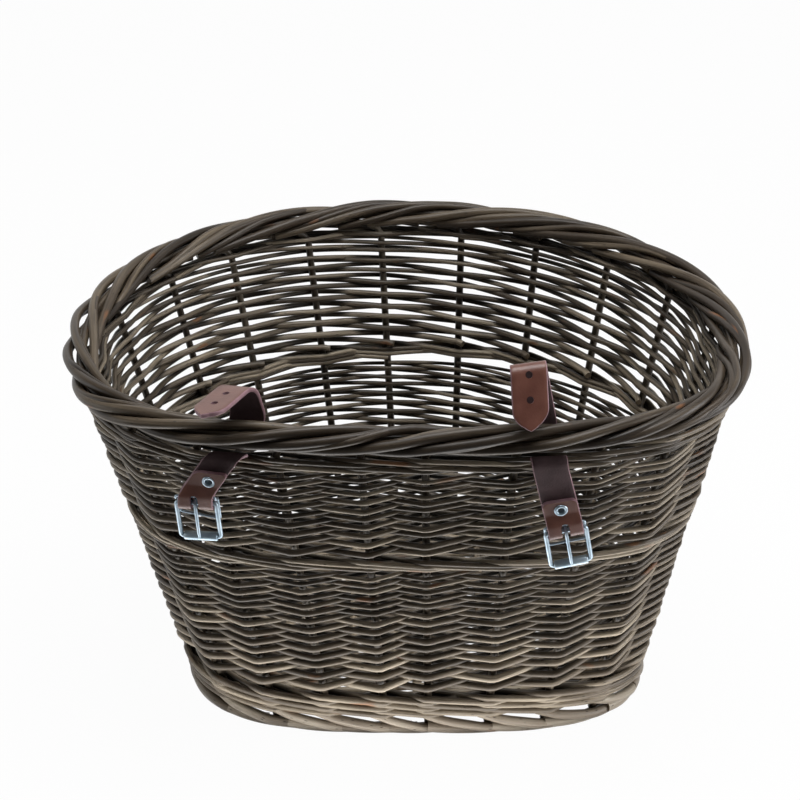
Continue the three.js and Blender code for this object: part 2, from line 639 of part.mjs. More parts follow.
for (const side of SIDES) {
  add(`strap_${side.name}_middle`, ribbon(middleStations(side)), leather);
  add(`strap_${side.name}_tail`, tail(side), leather);

  // Hanging part: down the wall, round the heel bar and up again as a flap, in rows of [p, q].
  const { tabTop, along, across, down, front, at, strapAt } = buckleFrame(side);
  const shut = STRAP_THICKNESS + GAP;
  const tabRows = [
    [-LAYER, -FLAP_CLOSED], [-LAYER, -LEAN_FROM], [-LAYER, 0],
    ...arc(0, 0, LAYER, 150, 30, 4),
    [LAYER, 0], [LAYER - GAP, -LEAN_FROM], [shut - LAYER, -FLAP_CLOSED],
    [shut - LAYER, FLAP_CORNER - FLAP_LENGTH], [shut - LAYER, -FLAP_LENGTH],
  ];
  const hanging = tabRows.map(([p, q], i) => ({
    centre: strapAt(q, p),
    across,
    width: i < tabRows.length - 1 ? STRAP_WIDTH : STRAP_WIDTH - FLAP_CORNER,
  }));
  const heading = hanging[0].centre.clone().sub(tabTop).normalize();
  const tabStations = [...roundedEnd(tabTop, heading, along), ...hanging];
  const eyeletAt = strapAt(-EYELET_UP, shut / 2 - LAYER);
  const slotHalf = PRONG_RADIUS + PRONG_SLOT_ROOM;
  const slotDeep = 2 * (LAYER + STRAP_THICKNESS);
  const prongSlot = [-slotHalf, slotHalf].map((u) => [
    at(u, -PRONG_SLOT_UP, -slotDeep), at(u, slotDeep, -slotDeep),
    at(u, slotDeep, slotDeep), at(u, -PRONG_SLOT_UP, slotDeep),
  ]);
  const eyeletHole = punch(eyeletAt, front, across, EYELET_BORE + EYELET_WALL + 2 * GAP, slotDeep);
  add(`strap_${side.name}_tab`, cut(ribbon(tabStations), [loft(prongSlot), eyeletHole]), leather);

  // Eyelet: flanged tube through both layers.
  const reach = shut / 2 + STRAP_THICKNESS / 2 + GAP;
  const edge = reach + EYELET_RIM;
  const tube = EYELET_BORE + EYELET_WALL;
  const eyeletProfile = [
    [EYELET_BORE, -edge - EYELET_CROWN], [EYELET_RADIUS, -edge], [EYELET_RADIUS, -reach],
    [tube, -reach], [tube, reach],
    [EYELET_RADIUS, reach], [EYELET_RADIUS, edge], [EYELET_BORE, edge + EYELET_CROWN],
  ];
  const eyeletSections = Array.from({ length: 14 }, (_, i) => {
    const angle = (2 * Math.PI * i) / 14;
    return eyeletProfile.map(([radius, p]) => eyeletAt.clone()
      .addScaledVector(across, radius * Math.cos(angle))
      .addScaledVector(down, radius * Math.sin(angle))
      .addScaledVector(front, p));
  });
  add(`eyelet_${side.name}`, loft(eyeletSections, true), steel);

  const frame = wireLoop(BUCKLE_HALF_WIDTH, 0, BUCKLE_LENGTH, BUCKLE_CORNER, 3, (u, q) => at(u, q, 0));
  add(`buckle_frame_${side.name}`, rod(frame, WIRE_RADIUS, 8, front, true), steel);

  const bore = WIRE_RADIUS + GAP;
  const rollerProfile = [
    [bore, -ROLLER_HALF_LENGTH], [ROLLER_RADIUS, -ROLLER_HALF_LENGTH],
    [ROLLER_RADIUS, ROLLER_HALF_LENGTH], [bore, ROLLER_HALF_LENGTH],
  ];
  const rollerSections = Array.from({ length: 16 }, (_, i) => {
    const angle = (2 * Math.PI * i) / 16;
    return rollerProfile.map(([radius, u]) => at(u,
      BUCKLE_LENGTH + radius * Math.sin(angle), radius * Math.cos(angle)));
  });
  add(`buckle_roller_${side.name}`, loft(rollerSections, true), steel);

  // Prong: a hook round the heel bar and a straight leg that lies on the roller.
  const hook = WIRE_RADIUS + GAP + PRONG_RADIUS;
  const clear = ROLLER_RADIUS + GAP + PRONG_RADIUS;
  const rest = Math.sqrt(clear * clear - PRONG_SHORT * PRONG_SHORT) + GAP;
  const prong = [
    ...arc(0, 0, hook, 80, 350, 9).map(([p, q]) => at(0, q, p)),
    at(0, 2 * hook, hook + GAP), at(0, BUCKLE_LENGTH - PRONG_SHORT, rest),
  ];
  add(`buckle_prong_${side.name}`, rod(prong, PRONG_RADIUS, 8, across), steel);

  // Keeper loop: its top lies inside the flap, and below its top corners it bends back behind the frame.
  const keeperTop = hook + PRONG_RADIUS + GAP + KEEPER_RADIUS;
  const keeperShape = (u, q) => {
    const below = Math.max(0, q + keeperTop - KEEPER_CORNER);
    return at(u, q, -Math.min(KEEPER_BACK, below));
  };
  const kink = KEEPER_BACK + KEEPER_CORNER - keeperTop;
  const keeper = wireLoop(KEEPER_HALF_WIDTH, -keeperTop, KEEPER_DROP, KEEPER_CORNER, 3, keeperShape, [kink]);
  add(`keeper_loop_${side.name}`, rod(keeper, KEEPER_RADIUS, 6, front, true), steel);
}

// The finished part stands with the centre of its bounding box over the origin.
const box = new THREE.Box3().setFromObject(group);
const shift = box.getCenter(vec());
for (const mesh of group.children) mesh.geometry.translate(-shift.x, -shift.y, -box.min.z);

export default group;
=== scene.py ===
import math
from types import SimpleNamespace

import bpy
import numpy as np
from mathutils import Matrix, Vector


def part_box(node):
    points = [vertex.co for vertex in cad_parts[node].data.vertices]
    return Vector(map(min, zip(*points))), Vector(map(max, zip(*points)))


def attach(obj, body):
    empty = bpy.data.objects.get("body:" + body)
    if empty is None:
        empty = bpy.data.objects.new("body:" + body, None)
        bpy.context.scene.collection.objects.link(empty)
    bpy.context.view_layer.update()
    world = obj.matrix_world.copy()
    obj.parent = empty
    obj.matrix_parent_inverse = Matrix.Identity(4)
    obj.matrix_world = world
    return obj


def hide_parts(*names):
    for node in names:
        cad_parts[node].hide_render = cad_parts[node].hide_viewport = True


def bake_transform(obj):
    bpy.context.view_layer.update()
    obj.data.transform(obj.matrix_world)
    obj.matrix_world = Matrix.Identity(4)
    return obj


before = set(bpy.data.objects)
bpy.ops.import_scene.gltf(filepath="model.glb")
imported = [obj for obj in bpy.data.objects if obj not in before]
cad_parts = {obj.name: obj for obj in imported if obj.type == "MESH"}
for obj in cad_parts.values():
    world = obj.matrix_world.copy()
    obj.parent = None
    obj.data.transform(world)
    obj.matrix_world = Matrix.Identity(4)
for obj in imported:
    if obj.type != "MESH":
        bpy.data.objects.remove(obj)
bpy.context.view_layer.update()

MM = 0.001
UP = np.array([0.0, 0.0, 1.0])
rng = np.random.default_rng(7)

# Sizes are in millimetres. The handlebar side of the basket faces -Y, and its front +Y.

# Plan of the stakes at the rim and at the base: half width, depth to the handlebar side, depth to the front,
# and the power of the flattened handlebar side. The front is half an ellipse.
RIM_HALF_WIDTH = 192.0
RIM_BACK = 119.0
RIM_FRONT = 161.0
RIM_POWER = 2.9
BASE_HALF_WIDTH = 135.0
BASE_BACK = 75.0
BASE_FRONT = 124.0
BASE_POWER = 3.1
FRONT_POWER = 2.0
PLAN_POINTS = 1441
# The base sits a little to the right of the rim.
BASE_SHIFT = 6.5
# Line of the greatest width, which centres the rim.
WIDE_Y = (RIM_BACK - RIM_FRONT) / 2

# Middle of the rim in the frame; the plans are drawn round it.
RIM_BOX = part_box("rim_border")
MIDDLE = np.array([(RIM_BOX[0].x + RIM_BOX[1].x) / 2, (RIM_BOX[0].y + RIM_BOX[1].y) / 2]) / MM

# Levels of the woven bands, from the ground up.
BOTTOM_WALE_LOW = 12.5
LOWER_WEAVE_LOW = 37.0
MIDDLE_WALE_LOW = 138.0
UPPER_WEAVE_LOW = 149.5
TOP_WALE_LOW = 212.5
UPPER_WEAVE_HIGH = 213.5
BORDER_LOW = 228.5
HEIGHT = 246.0
# On the front of the basket the upper weave reaches higher and the top wale is narrower.
FAR_WEAVE_HIGH = 226.0
FAR_WALE_LOW = 223.0
# The front eases into the handlebar side within this distance of the rim's middle.
FAR_REACH = 90.0

# Stakes: radius, share of it left at the top, level of the foot, how far they and the weave stand inside the
# plan, how far they wander, and where they stand, as fractions of the way round from the middle of the
# handlebar side.
STAKE_RADIUS = 2.5
STAKE_TAPER = 0.88
STAKE_FOOT = 7.0
STAKE_INSET = 1.2
STAKE_PLAY = 0.25
STAKE_AT = np.array([
    0.009, 0.056, 0.101, 0.143, 0.185, 0.222, 0.268, 0.320, 0.370, 0.419, 0.467,
    0.517, 0.563, 0.614, 0.659, 0.711, 0.758, 0.803, 0.847, 0.888, 0.931, 0.975,
])
STAKES = len(STAKE_AT)

# Weaving rods: where they are sampled, as shares of the gap between two stakes, and the share beside each
# stake over which they lie flat against it.
KINKS = np.array([0.0, 0.05, 0.11, 0.22, 0.36, 0.5, 0.64, 0.78, 0.89, 0.95])
KINK_SHARE = 0.045
# Distance from the middle of a stake to the rods in front of it and behind it, room left for the rods below
# the first stroke and in the whole band, how far strokes dip and lift, the spread of the rods' thickness, and
# the play of the hand.
FRONT_OF_STAKE = 2.9
BEHIND_STAKE = 2.3
BAND_FOOT = 1.4
BAND_ROOM = 2.4
STROKE_DIP = 1.2
RAND_SPREAD = (0.92, 1.08)
WALE_SPREAD = (0.93, 1.07)
RAND_PLAY_OUT = 0.35
RAND_PLAY_UP = 0.62
WALE_PLAY = 0.25
# Butt of a rod: share of a gap that it starts before its first stake, and how far it points in and down.
BUTT_SHARE = 0.09
BUTT_IN = 2.2
BUTT_DOWN = 0.5
# Height of a wale's strokes in front of the first stake, in front of the second and behind the third, and the
# height of the twist of three rods, all in rod diameters.
WALE_LIFT = (0.92, 0.04, 0.5)
WALE_TWIST = 1.9

# Painted shade deep in the weave: reach of the outer rods from the middle of the wall half way between two
# stakes and at a stake, the depth at which the painted shade is full, and its share there and on the stakes.
CROSSING_OUT = 2.0
STAKE_OUT = 6.4
FULL_SHADE_DEPTH = 4.0
PAINTED_SHADE_SHARE = 0.95
STAKE_PAINTED_SHADE = 0.5

# Rim border: half its width as the rods lie and at its inner face, the share of its height from which that
# face is upright, the angles from which and by which its rods go round it, and the radius of its core.
BORDER_HALF_WIDE = 9.3
BORDER_INNER = 9.0
BORDER_UPRIGHT_FROM = 0.27
BORDER_START = -104
BORDER_SWEEP = 340
BORDER_CORE = 2.8
# Thick and thin rods of the border: radius, length in stakes, depth below its surface and start in stakes.
BORDER_RODS = ((3.05, 4.3, 0.0, 0.0), (2.4, 3.0, 0.9, 0.5))
# Spread and taper of their thickness, play of their starts in stakes, how far they stand out on the rounded
# sides, and how far they drift sideways and up.
BORDER_SPREAD = (0.88, 1.14)
BORDER_TAPER = 0.16
BORDER_PLAY = 0.12
BORDER_LOOSE = 1.4
BORDER_DRIFT_OUT = 0.7
BORDER_DRIFT_UP = 0.45

# Foot border: shares of the way along a slanting rod, and its stake, level and distance outwards there; play
# of its start in stakes, range of its radius and where that changes.
FOOT_KNOTS = (0, 0.14, 0.4, 0.72, 1.0)
FOOT_STAKES = (-0.15, 0.22, 0.95, 1.8, 2.5)
FOOT_LEVELS = (17.5, 13.0, 6.6, 3.6, 3.4)
FOOT_OUT = (2.0, 4.0, 4.6, 1.0, -1.4)
FOOT_PLAY = 0.07
FOOT_RADIUS = (2.8, 3.3)
FOOT_TAPER_AT = (0, 0.3, 1)
FOOT_TAPER = (0.85, 1.0, 0.95)
# Butts under the slanting rods: range and taper of the radius, start, its play and length in stakes, rise and
# distance outwards at the start, and distance inwards from there at the end. All rods of the foot lie just
# above the ground.
FOOT_BUTT_RADIUS = (3.3, 3.8)
FOOT_BUTT_TAPER = 0.2
FOOT_BUTT_PLAY = 0.1
FOOT_BUTT_START = 0.08
FOOT_BUTT_LENGTH = 1.7
FOOT_BUTT_RISE = 3.4
FOOT_BUTT_OUT = 3.6
FOOT_BUTT_IN = 5.2
FOOT_CLEAR = 0.1

# Base: its two faces, place of its edge relative to the plan, sticks and the span that they share in half
# widths of the base, rods woven across them and how far those step over a stick.
BASE_LOW = 18.0
BASE_HIGH = 27.0
BASE_EDGE = -5.5
BASE_STICKS = 5
STICK_SPAN = 1.5
STICK_RADIUS = 2.9
CROSS_RADIUS = 2.25
CROSS_PITCH = 4.3
CROSS_STEP = 2.4

# Leather straps, through a slot under the rim border: section, rounded edge, clearance between pieces, bends
# in the slot, straight length below the outer one, room beside the strap, outside of the wall, the free end's
# hinge below the rim, and the step between the rows of a strap's mesh.
STRAP_WIDTH = 20.0
STRAP_THICKNESS = 2.5
STRAP_EDGE = 0.55
CLEAR = 0.3
STRAP_BEND = 3.0
STRAP_STRAIGHT = 2.2
SLOT_ROOM = 4.0
WALL_OUT = 6.0
FLEX_BELOW = 3.0
STRAP_STEP = 0.8
# Free end: length of its pointed tip, power of the tip's curve, share of the width at its blunt point, and
# punched holes.
TIP_LENGTH = 12.5
TIP_POWER = 2.3
TIP_BLUNT = 0.02
HOLE_RADIUS = 2.0
# Hanging part: tilt inwards in degrees, height above the heel bar from which it leans, where its twist
# starts, over what height it grows, and the distance of the strap's middle from the line it twists about.
TAB_TILT = 6.0
LEAN_FROM = 6.5
TWIST_FROM = 2.0
TWIST_OVER = 12.0
TWIST_ARM = 5.5
# Flap turned up round the heel bar: length, height at which it closes on the strap behind it, and its rounded
# corners with the share of the width that they take off.
FLAP_LENGTH = 22.5
FLAP_CLOSED = 13.0
FLAP_CORNER = 3.0
FLAP_CORNER_SHARE = 0.3
FLAP_SHUT = STRAP_THICKNESS + CLEAR
# Slot for the prong: half its width and height of its round end above the heel bar.
PRONG_SLOT_HALF = 2.3
PRONG_SLOT_TOP = 5.2
# Levels between which the leather would bend when the free end or the hanging part moves, and for the
# hanging part also the distances from the rim's line. The points worked out from them are not used further.
TAIL_BEND_LEVELS = (241.0, 247.0)
TAB_BEND_LEVELS = (226.0, 219.0)
TAB_BEND_OUT = (2.0, 7.0)

# Roller buckle: wire radius that the leather clears and that shows, sizes between wire centres, and roller.
WIRE_RADIUS = 1.1
WIRE_SEEN = 1.35
BUCKLE_LENGTH = 24.0
BUCKLE_CORNER = 1.6
BUCKLE_HALF_WIDTH = STRAP_WIDTH / 2 + 1.4
BUCKLE_KINKS = (6.0, 12.0, 18.0)
ROLLER_RADIUS = 2.6
ROLLER_HALF_LENGTH = BUCKLE_HALF_WIDTH - BUCKLE_CORNER - 0.2
ROLLER_BORE = WIRE_SEEN + 0.25
ROLLER_BEVEL_IN = 0.35
ROLLER_BEVEL_LONG = 0.4
# Prong: radius, how far it ends short of the roller's middle, gap to the roller, radii towards its point, and
# the length of that point.
PRONG_RADIUS = 1.0
PRONG_SHORT = 1.8
PRONG_GAP = 0.1
PRONG_TAPER = [0.96, 0.88, 0.72, 0.3]
PRONG_POINT = 0.01
PRONG_HOOK = WIRE_RADIUS + CLEAR + PRONG_RADIUS
# Keeper: a thin wire loop in the same fold, which steps back behind the buckle.
KEEPER_RADIUS = 0.8
KEEPER_DROP = 12.0
KEEPER_BACK = 4.3
KEEPER_CORNER = 1.6
KEEPER_SLOPE = 1.5
KEEPER_HALF_WIDTH = STRAP_WIDTH / 2 + 1.3
KEEPER_TOP = PRONG_HOOK + PRONG_RADIUS + CLEAR + KEEPER_RADIUS
# Eyelet: flange, bore, wall, height above the heel bar, height of the rolled edge and play in the leather.
EYELET_RADIUS = 3.9
EYELET_BORE = 1.9
EYELET_WALL = 1.0
EYELET_UP = 16.5
EYELET_ROLL = 0.9
EYELET_PLAY = 0.6

# Levels and distances outwards that follow.
SLOT_Z = BORDER_LOW - 2 * CLEAR - STRAP_THICKNESS / 2
OUTSIDE_O = (WALL_OUT - (1 - SLOT_Z / HEIGHT) * (RIM_BACK - BASE_BACK)) + STRAP_THICKNESS / 2 + 2 * CLEAR
TAIL_LOW = HEIGHT - FLEX_BELOW
TAB_HIGH = SLOT_Z - STRAP_BEND - STRAP_STRAIGHT
LAYER = WIRE_RADIUS + 1.4 * CLEAR + STRAP_THICKNESS / 2

# The two straps as they lie. In millimetres: place along the rim (at), heel bar below the border (heel_drop),
# free end above the rim (rise), radius of its fold, length beyond it (tail), holes from the tip, and height
# from which the hanging part leans. In degrees: lean in the slot, of the hanging part (tab_lean), the buckle
# (hang) and the rising end (tail_lean), tilt and turn of the fold's crease, its bend, and the hanging part's
# twist. Soft is the rounds of smoothing, lean_share the share of the hanging part's lean that shows, and
# keeper_skew how far the keeper hangs to one side.
SIDES = [
    {
        "name": "left", "at": -94.2, "heel_drop": 34.0, "rise": 7.0, "fold": 12.5, "tail": 36.5,
        "holes": (15.5, 28.5), "lean_from": 5.0, "slot_lean": -13.5, "tab_lean": -41.0, "hang": 3.0,
        "tail_lean": 5.0, "crease": 11.0, "turn": 20.0, "bend": 84.0, "twist": 7.0, "soft": 24,
        "lean_share": 0.7, "keeper_skew": 0.2,
    },
    {
        "name": "right", "at": 76.1, "heel_drop": 50.0, "rise": 28.7, "fold": 4.5, "tail": 31.5,
        "holes": (17.0, 30.5), "lean_from": 6.5, "slot_lean": 7.5, "tab_lean": 14.0, "hang": 10.7,
        "tail_lean": 11.0, "crease": 6.0, "turn": 0.0, "bend": 149.0, "twist": 3.0, "soft": 3,
        "lean_share": 1.0, "keeper_skew": 0.0,
    },
]

# Stage: half the floor's width, distance and height of the backdrop, and the stretch in front of the basket
# over which the paper turns from grey to white.
FLOOR_HALF = 12000
BACKDROP_Y = 2500
BACKDROP_HEIGHT = 3000
GREY_Y = -450
WHITE_Y = -200
# Softboxes: name, place, aim, width and height in metres, and power in watts. The table panel lies in front
# of the basket and lights the handlebar side from below.
SOFTBOXES = [
    ("overhead_softbox", (0.12, 0.0, 1.3), (0.12, 0.0, 0.0), (0.9, 0.7), 14),
    ("right_softbox", (1.25, -0.3, 0.35), (0.15, -0.05, 0.12), (0.5, 0.7), 10),
    ("left_softbox", (-1.25, -0.2, 0.35), (-0.15, -0.03, 0.12), (0.5, 0.7), 2),
    ("table_panel", (0.01, -0.15, 0.004), (0.01, -0.15, 1.0), (0.7, 0.1), 0.8),
]

# Camera: picture and focal length in pixels, the pixel at which its target shows, the target's place from
# the rim's middle, and the camera's elevation in degrees and distance.
PICTURE_PIXELS = 800
FOCAL_PIXELS = 2232.0
TARGET_PIXEL_X = 407.1
TARGET_PIXEL_Y = 470.1
TARGET_AHEAD = 8.5
TARGET_HEIGHT = 122.8
CAMERA_ELEVATION = 33
CAMERA_DISTANCE = 1400.0
SENSOR_WIDTH = 36


# Materials

WHITE = (1.0, 1.0, 1.0, 1.0)
BLACK = (0.0, 0.0, 0.0, 1.0)
PARTLY = (0.6, 0.6, 0.6, 1.0)


def linear(hex_colour):
    """sRGB hex to the linear RGBA that the shaders take."""
    parts = [int(hex_colour[i:i + 2], 16) / 255 for i in (1, 3, 5)]
    return tuple(c / 12.92 if c <= 0.04045 else ((c + 0.055) / 1.055) ** 2.4 for c in parts) + (1.0,)


def add(tree, kind, inputs=None, stops=(), **settings):
    """Adds a node with its settings; an input is a value or the socket that feeds it. A colour ramp also
    takes its stops of position and colour."""
    made = tree.nodes.new(kind)
    for name, value in settings.items():
        setattr(made, name, value)
    for name, value in (inputs or {}).items():
        if isinstance(value, bpy.types.NodeSocket):
            tree.links.new(value, made.inputs[name])
        else:
            made.inputs[name].default_value = value
    while stops and len(made.color_ramp.elements) < len(stops):
        made.color_ramp.elements.new(0.5)
    for number, (position, colour) in enumerate(stops):
        made.color_ramp.elements[number].position = position
        made.color_ramp.elements[number].color = colour
    return made


def new_material(name):
    """A material with its node tree and its shader."""
    material = bpy.data.materials.new(name)
    material.use_nodes = True
    tree = material.node_tree
    shader = next(n for n in tree.nodes if n.type == "BSDF_PRINCIPLED")
    return material, tree, shader


def willow(name, dark, mid, pale):
    """Willow rods, steamed and stained: a smooth waxy skin with long streaks, dark specks at the leaf scars,
    a few orange-brown patches where the stain has rubbed off, dull cut ends, and painted shade deep in the
    weave."""
    material, tree, shader = new_material(name)
    read = {}
    for value, output in (("grain", "Vector"), ("tone", "Fac"), ("cut", "Fac"), ("deep", "Fac")):
        read[value] = add(tree, "ShaderNodeAttribute", attribute_name=value).outputs[output]
    # Length along the rod and width across it of the streaks, the clouds of stain, the cells that hold a leaf
    # scar of about 1 mm, and the rubbed patches. The grain is in metres.
    at = {}
    for pattern, long, wide in (("streak", 40, 1.5), ("cloud", 60, 20), ("scar", 9, 2.2), ("rub", 25, 8)):
        cells = (1 / (long * MM), 1 / (wide * MM), 1 / (wide * MM))
        mapping = add(tree, "ShaderNodeMapping", {"Vector": read["grain"], "Scale": cells})
        at[pattern] = mapping.outputs["Vector"]
    noise = {}
    for pattern, detail in (("streak", 3.0), ("cloud", 2.0), ("rub", 1.0)):
        made = add(tree, "ShaderNodeTexNoise", {"Vector": at[pattern], "Scale": 1.0, "Detail": detail})
        noise[pattern] = made.outputs["Fac"]
    scar = add(tree, "ShaderNodeTexVoronoi", {"Vector": at["scar"], "Scale": 1.0}).outputs["Distance"]
    # Each rod has a tone of its own, under the clouds of stain.
    toned = add(tree, "ShaderNodeMath", {0: noise["streak"], 1: read["tone"]}, operation="MULTIPLY")
    clouded = {0: noise["cloud"], 1: 0.45, 2: toned.outputs[0]}
    shade = add(tree, "ShaderNodeMath", clouded, operation="MULTIPLY_ADD").outputs[0]
    skin = [(0.24, linear(dark)), (0.5, linear(mid)), (0.82, linear(pale))]
    colour = add(tree, "ShaderNodeValToRGB", {"Fac": shade}, skin).outputs["Color"]
    scars = add(tree, "ShaderNodeValToRGB", {"Fac": scar}, [(0.06, WHITE), (0.16, BLACK)])
    rubbed = add(tree, "ShaderNodeValToRGB", {"Fac": noise["rub"]}, [(0.70, BLACK), (0.78, PARTLY)])
    # From the skin up: leaf scars, rubbed patches, cut ends, and painted shade deep in the weave.
    layers = [(scars.outputs["Color"], "#2a231d"), (rubbed.outputs["Color"], "#8a5a35")]
    layers += [(read["cut"], "#665947"), (read["deep"], "#15100b")]
    for share, tint in layers:
        layer = {"Factor": share, "A": colour, "B": linear(tint)}
        colour = add(tree, "ShaderNodeMix", layer, data_type="RGBA").outputs["Result"]
    tree.links.new(colour, shader.inputs["Base Color"])
    rough = add(tree, "ShaderNodeMapRange", {"Value": noise["streak"], "To Min": 0.32, "To Max": 0.5})
    tree.links.new(rough.outputs["Result"], shader.inputs["Roughness"])
    shader.inputs["Specular IOR Level"].default_value = 0.35
    bump = add(tree, "ShaderNodeBump", {"Height": noise["streak"], "Strength": 0.35, "Distance": 0.3 * MM})
    tree.links.new(bump.outputs["Normal"], shader.inputs["Normal"])
    return material


def leather(name, dark, pale, roughness, bump_strength, sheen=0.0):
    """Strap leather: cloudy brown with pores and fine creases about 0.8 mm across, drawn at 1.2 mm so that
    they show."""
    material, tree, shader = new_material(name)
    place = add(tree, "ShaderNodeTexCoord").outputs["Object"]
    pores = add(tree, "ShaderNodeTexVoronoi", {"Vector": place, "Scale": 1 / (1.2 * MM)}).outputs["Distance"]
    cloud = add(tree, "ShaderNodeTexNoise", {"Vector": place, "Scale": 1 / (12 * MM), "Detail": 4.0})
    tones = [(0.3, linear(dark)), (0.7, linear(pale))]
    colour = add(tree, "ShaderNodeValToRGB", {"Fac": cloud.outputs["Fac"]}, tones).outputs["Color"]
    tree.links.new(colour, shader.inputs["Base Color"])
    shader.inputs["Roughness"].default_value = roughness
    shader.inputs["Specular IOR Level"].default_value = 0.5
    shader.inputs["Sheen Weight"].default_value = sheen
    shader.inputs["Sheen Roughness"].default_value = 0.35
    bump = add(tree, "ShaderNodeBump", {"Height": pores, "Strength": bump_strength, "Distance": 0.2 * MM})
    tree.links.new(bump.outputs["Normal"], shader.inputs["Normal"])
    return material


def plated_steel(name, dark, pale, metallic, smooth, dull):
    """Bright zinc plating on steel: a cool grey that mirrors softly, with duller patches about 8 mm wide."""
    material, tree, shader = new_material(name)
    place = add(tree, "ShaderNodeTexCoord").outputs["Object"]
    patches = add(tree, "ShaderNodeTexNoise", {"Vector": place, "Scale": 1 / (8 * MM), "Detail": 2.0})
    cloud = patches.outputs["Fac"]
    tones = [(0.3, linear(dark)), (0.7, linear(pale))]
    colour = add(tree, "ShaderNodeValToRGB", {"Fac": cloud}, tones).outputs["Color"]
    tree.links.new(colour, shader.inputs["Base Color"])
    rough = add(tree, "ShaderNodeMapRange", {"Value": cloud, "To Min": smooth, "To Max": dull})
    tree.links.new(rough.outputs["Result"], shader.inputs["Roughness"])
    shader.inputs["Metallic"].default_value = metallic
    return material


WILLOW = willow("stained_willow", "#2d261e", "#63584a", "#a59884")
# A paler copy of the willow for the foot border: painted light, as if lit from the floor below.
WILLOW_FOOT_PAINTED_LIGHT = willow("stained_willow_foot_painted_light", "#584d40", "#8c8071", "#b4a998")
# A darker copy of the willow for the rim border, whose top catches the overhead lamp: painted shade.
WILLOW_BORDER_PAINTED_SHADE = willow("stained_willow_border_painted_shade", "#211a14", "#42382d", "#6c6050")
GRAIN_SIDE = leather("leather_grain_side", "#5f392f", "#744b3f", roughness=0.36, bump_strength=0.2,
                     sheen=0.12)
FLESH_SIDE = leather("leather_flesh_side", "#3e2c2d", "#543f42", roughness=0.8, bump_strength=0.6)
CUT_EDGE = leather("leather_cut_edge", "#75535a", "#9c7c83", roughness=0.6, bump_strength=0.4)
STEEL_WIRE = plated_steel("zinc_plated_wire", "#93a6b4", "#b8c8d3", metallic=0.85, smooth=0.28, dull=0.36)
# A paler, half-matt copy of the plating for the rollers: painted brightness in place of the bright reflection
# they show.
STEEL_TUBE_PAINTED_BRIGHT = plated_steel("zinc_plated_tube_painted_bright", "#a9c0cf", "#d3e3ec", metallic=0.5, smooth=0.36, dull=0.46)


# Small sums

def unit(vectors):
    return vectors / np.linalg.norm(vectors, axis=-1, keepdims=True)


def eased(part):
    """0 to 1 with a soft start and end."""
    return part * part * (3 - 2 * part)


def slope(degrees):
    return math.tan(math.radians(degrees))


def distances(points):
    """Length run along a row of points up to each of them."""
    return np.concatenate([[0], np.cumsum(np.linalg.norm(np.diff(points, axis=0), axis=1))])


def arc(x, y, radius, start, end, steps):
    """Points of an arc round a centre, between two angles in degrees."""
    angle = np.radians(np.linspace(start, end, steps + 1))
    return [(x + radius * c, y + radius * s) for c, s in zip(np.cos(angle), np.sin(angle))]


def turned(vector, axis, angle):
    """A vector turned round an axis."""
    c = math.cos(angle)
    s = math.sin(angle)
    return vector * c + np.cross(axis, vector) * s + axis * (axis @ vector) * (1 - c)


# Plan curves and the wall

def plan_curve(half_width, back, front, back_power, shift=0.0):
    """Points of a plan curve by arc length, from the middle of the handlebar side towards +X."""
    angle = np.linspace(0, 2 * np.pi, PLAN_POINTS)
    s = np.sin(angle)
    c = np.cos(angle)
    power = np.where(c > 0, back_power, FRONT_POWER)
    depth = np.where(c > 0, -back, front)
    x = half_width * np.sign(s) * np.abs(s) ** (2 / power) + shift
    y = WIDE_Y + depth * np.abs(c) ** (2 / power)
    length = distances(np.stack([x, y], -1))
    return length / length[-1], x, y


RIM_CURVE = plan_curve(RIM_HALF_WIDTH, RIM_BACK, RIM_FRONT, RIM_POWER)
BASE_CURVE = plan_curve(BASE_HALF_WIDTH, BASE_BACK, BASE_FRONT, BASE_POWER, BASE_SHIFT)


def on_curve(curve, t):
    """Points at fractions of the way round a plan curve."""
    t = np.mod(t, 1.0)
    return np.stack([np.interp(t, curve[0], curve[1]), np.interp(t, curve[0], curve[2])], -1)


def outward(t):
    """Outward direction of the wall in plan, from points a little before and after."""
    total = 0
    beside = 0.004
    for curve in (RIM_CURVE, BASE_CURVE):
        total = total + unit(on_curve(curve, t + beside) - on_curve(curve, t - beside))
    total = unit(total)
    return np.stack([total[..., 1], -total[..., 0]], -1)


def wall(t, z, off):
    """Points on the wall, moved outwards by off."""
    t, z, off = np.broadcast_arrays(np.asarray(t, float), np.asarray(z, float), np.asarray(off, float))
    part = (z / HEIGHT)[..., None]
    flat = on_curve(BASE_CURVE, t) * (1 - part) + on_curve(RIM_CURVE, t) * part
    flat = flat + outward(t) * off[..., None] + MIDDLE
    return np.concatenate([flat, z[..., None]], -1)


def stake_at(m):
    """Place of stake m round the rim, counting on past a full turn; m may be fractional."""
    m = np.asarray(m, float)
    low = np.floor(m).astype(int)
    before = STAKE_AT[low % STAKES] + low // STAKES
    after = STAKE_AT[(low + 1) % STAKES] + (low + 1) // STAKES
    return before * (1 - (m - low)) + after * (m - low)


def far_share(t):
    """0 on the handlebar side, 1 on the front of the basket, eased between them."""
    y = wall(t, HEIGHT, 0)[..., 1] - MIDDLE[1]
    return eased(np.clip((y + FAR_REACH) / (2 * FAR_REACH), 0, 1))


# Meshes

def new_piece(name, points, faces, materials, kinds=None):
    """Object from points in millimetres, shaded smooth; kinds gives each face the number of its material."""
    mesh = bpy.data.meshes.new(name)
    mesh.from_pydata((np.asarray(points) * MM).tolist(), [], faces)
    for material in materials:
        mesh.materials.append(material)
    if kinds is not None:
        mesh.polygons.foreach_set("material_index", kinds)
    mesh.polygons.foreach_set("use_smooth", np.ones(len(mesh.polygons), bool))
    mesh.update()
    piece = bpy.data.objects.new(name, mesh)
    bpy.context.scene.collection.objects.link(piece)
    return piece


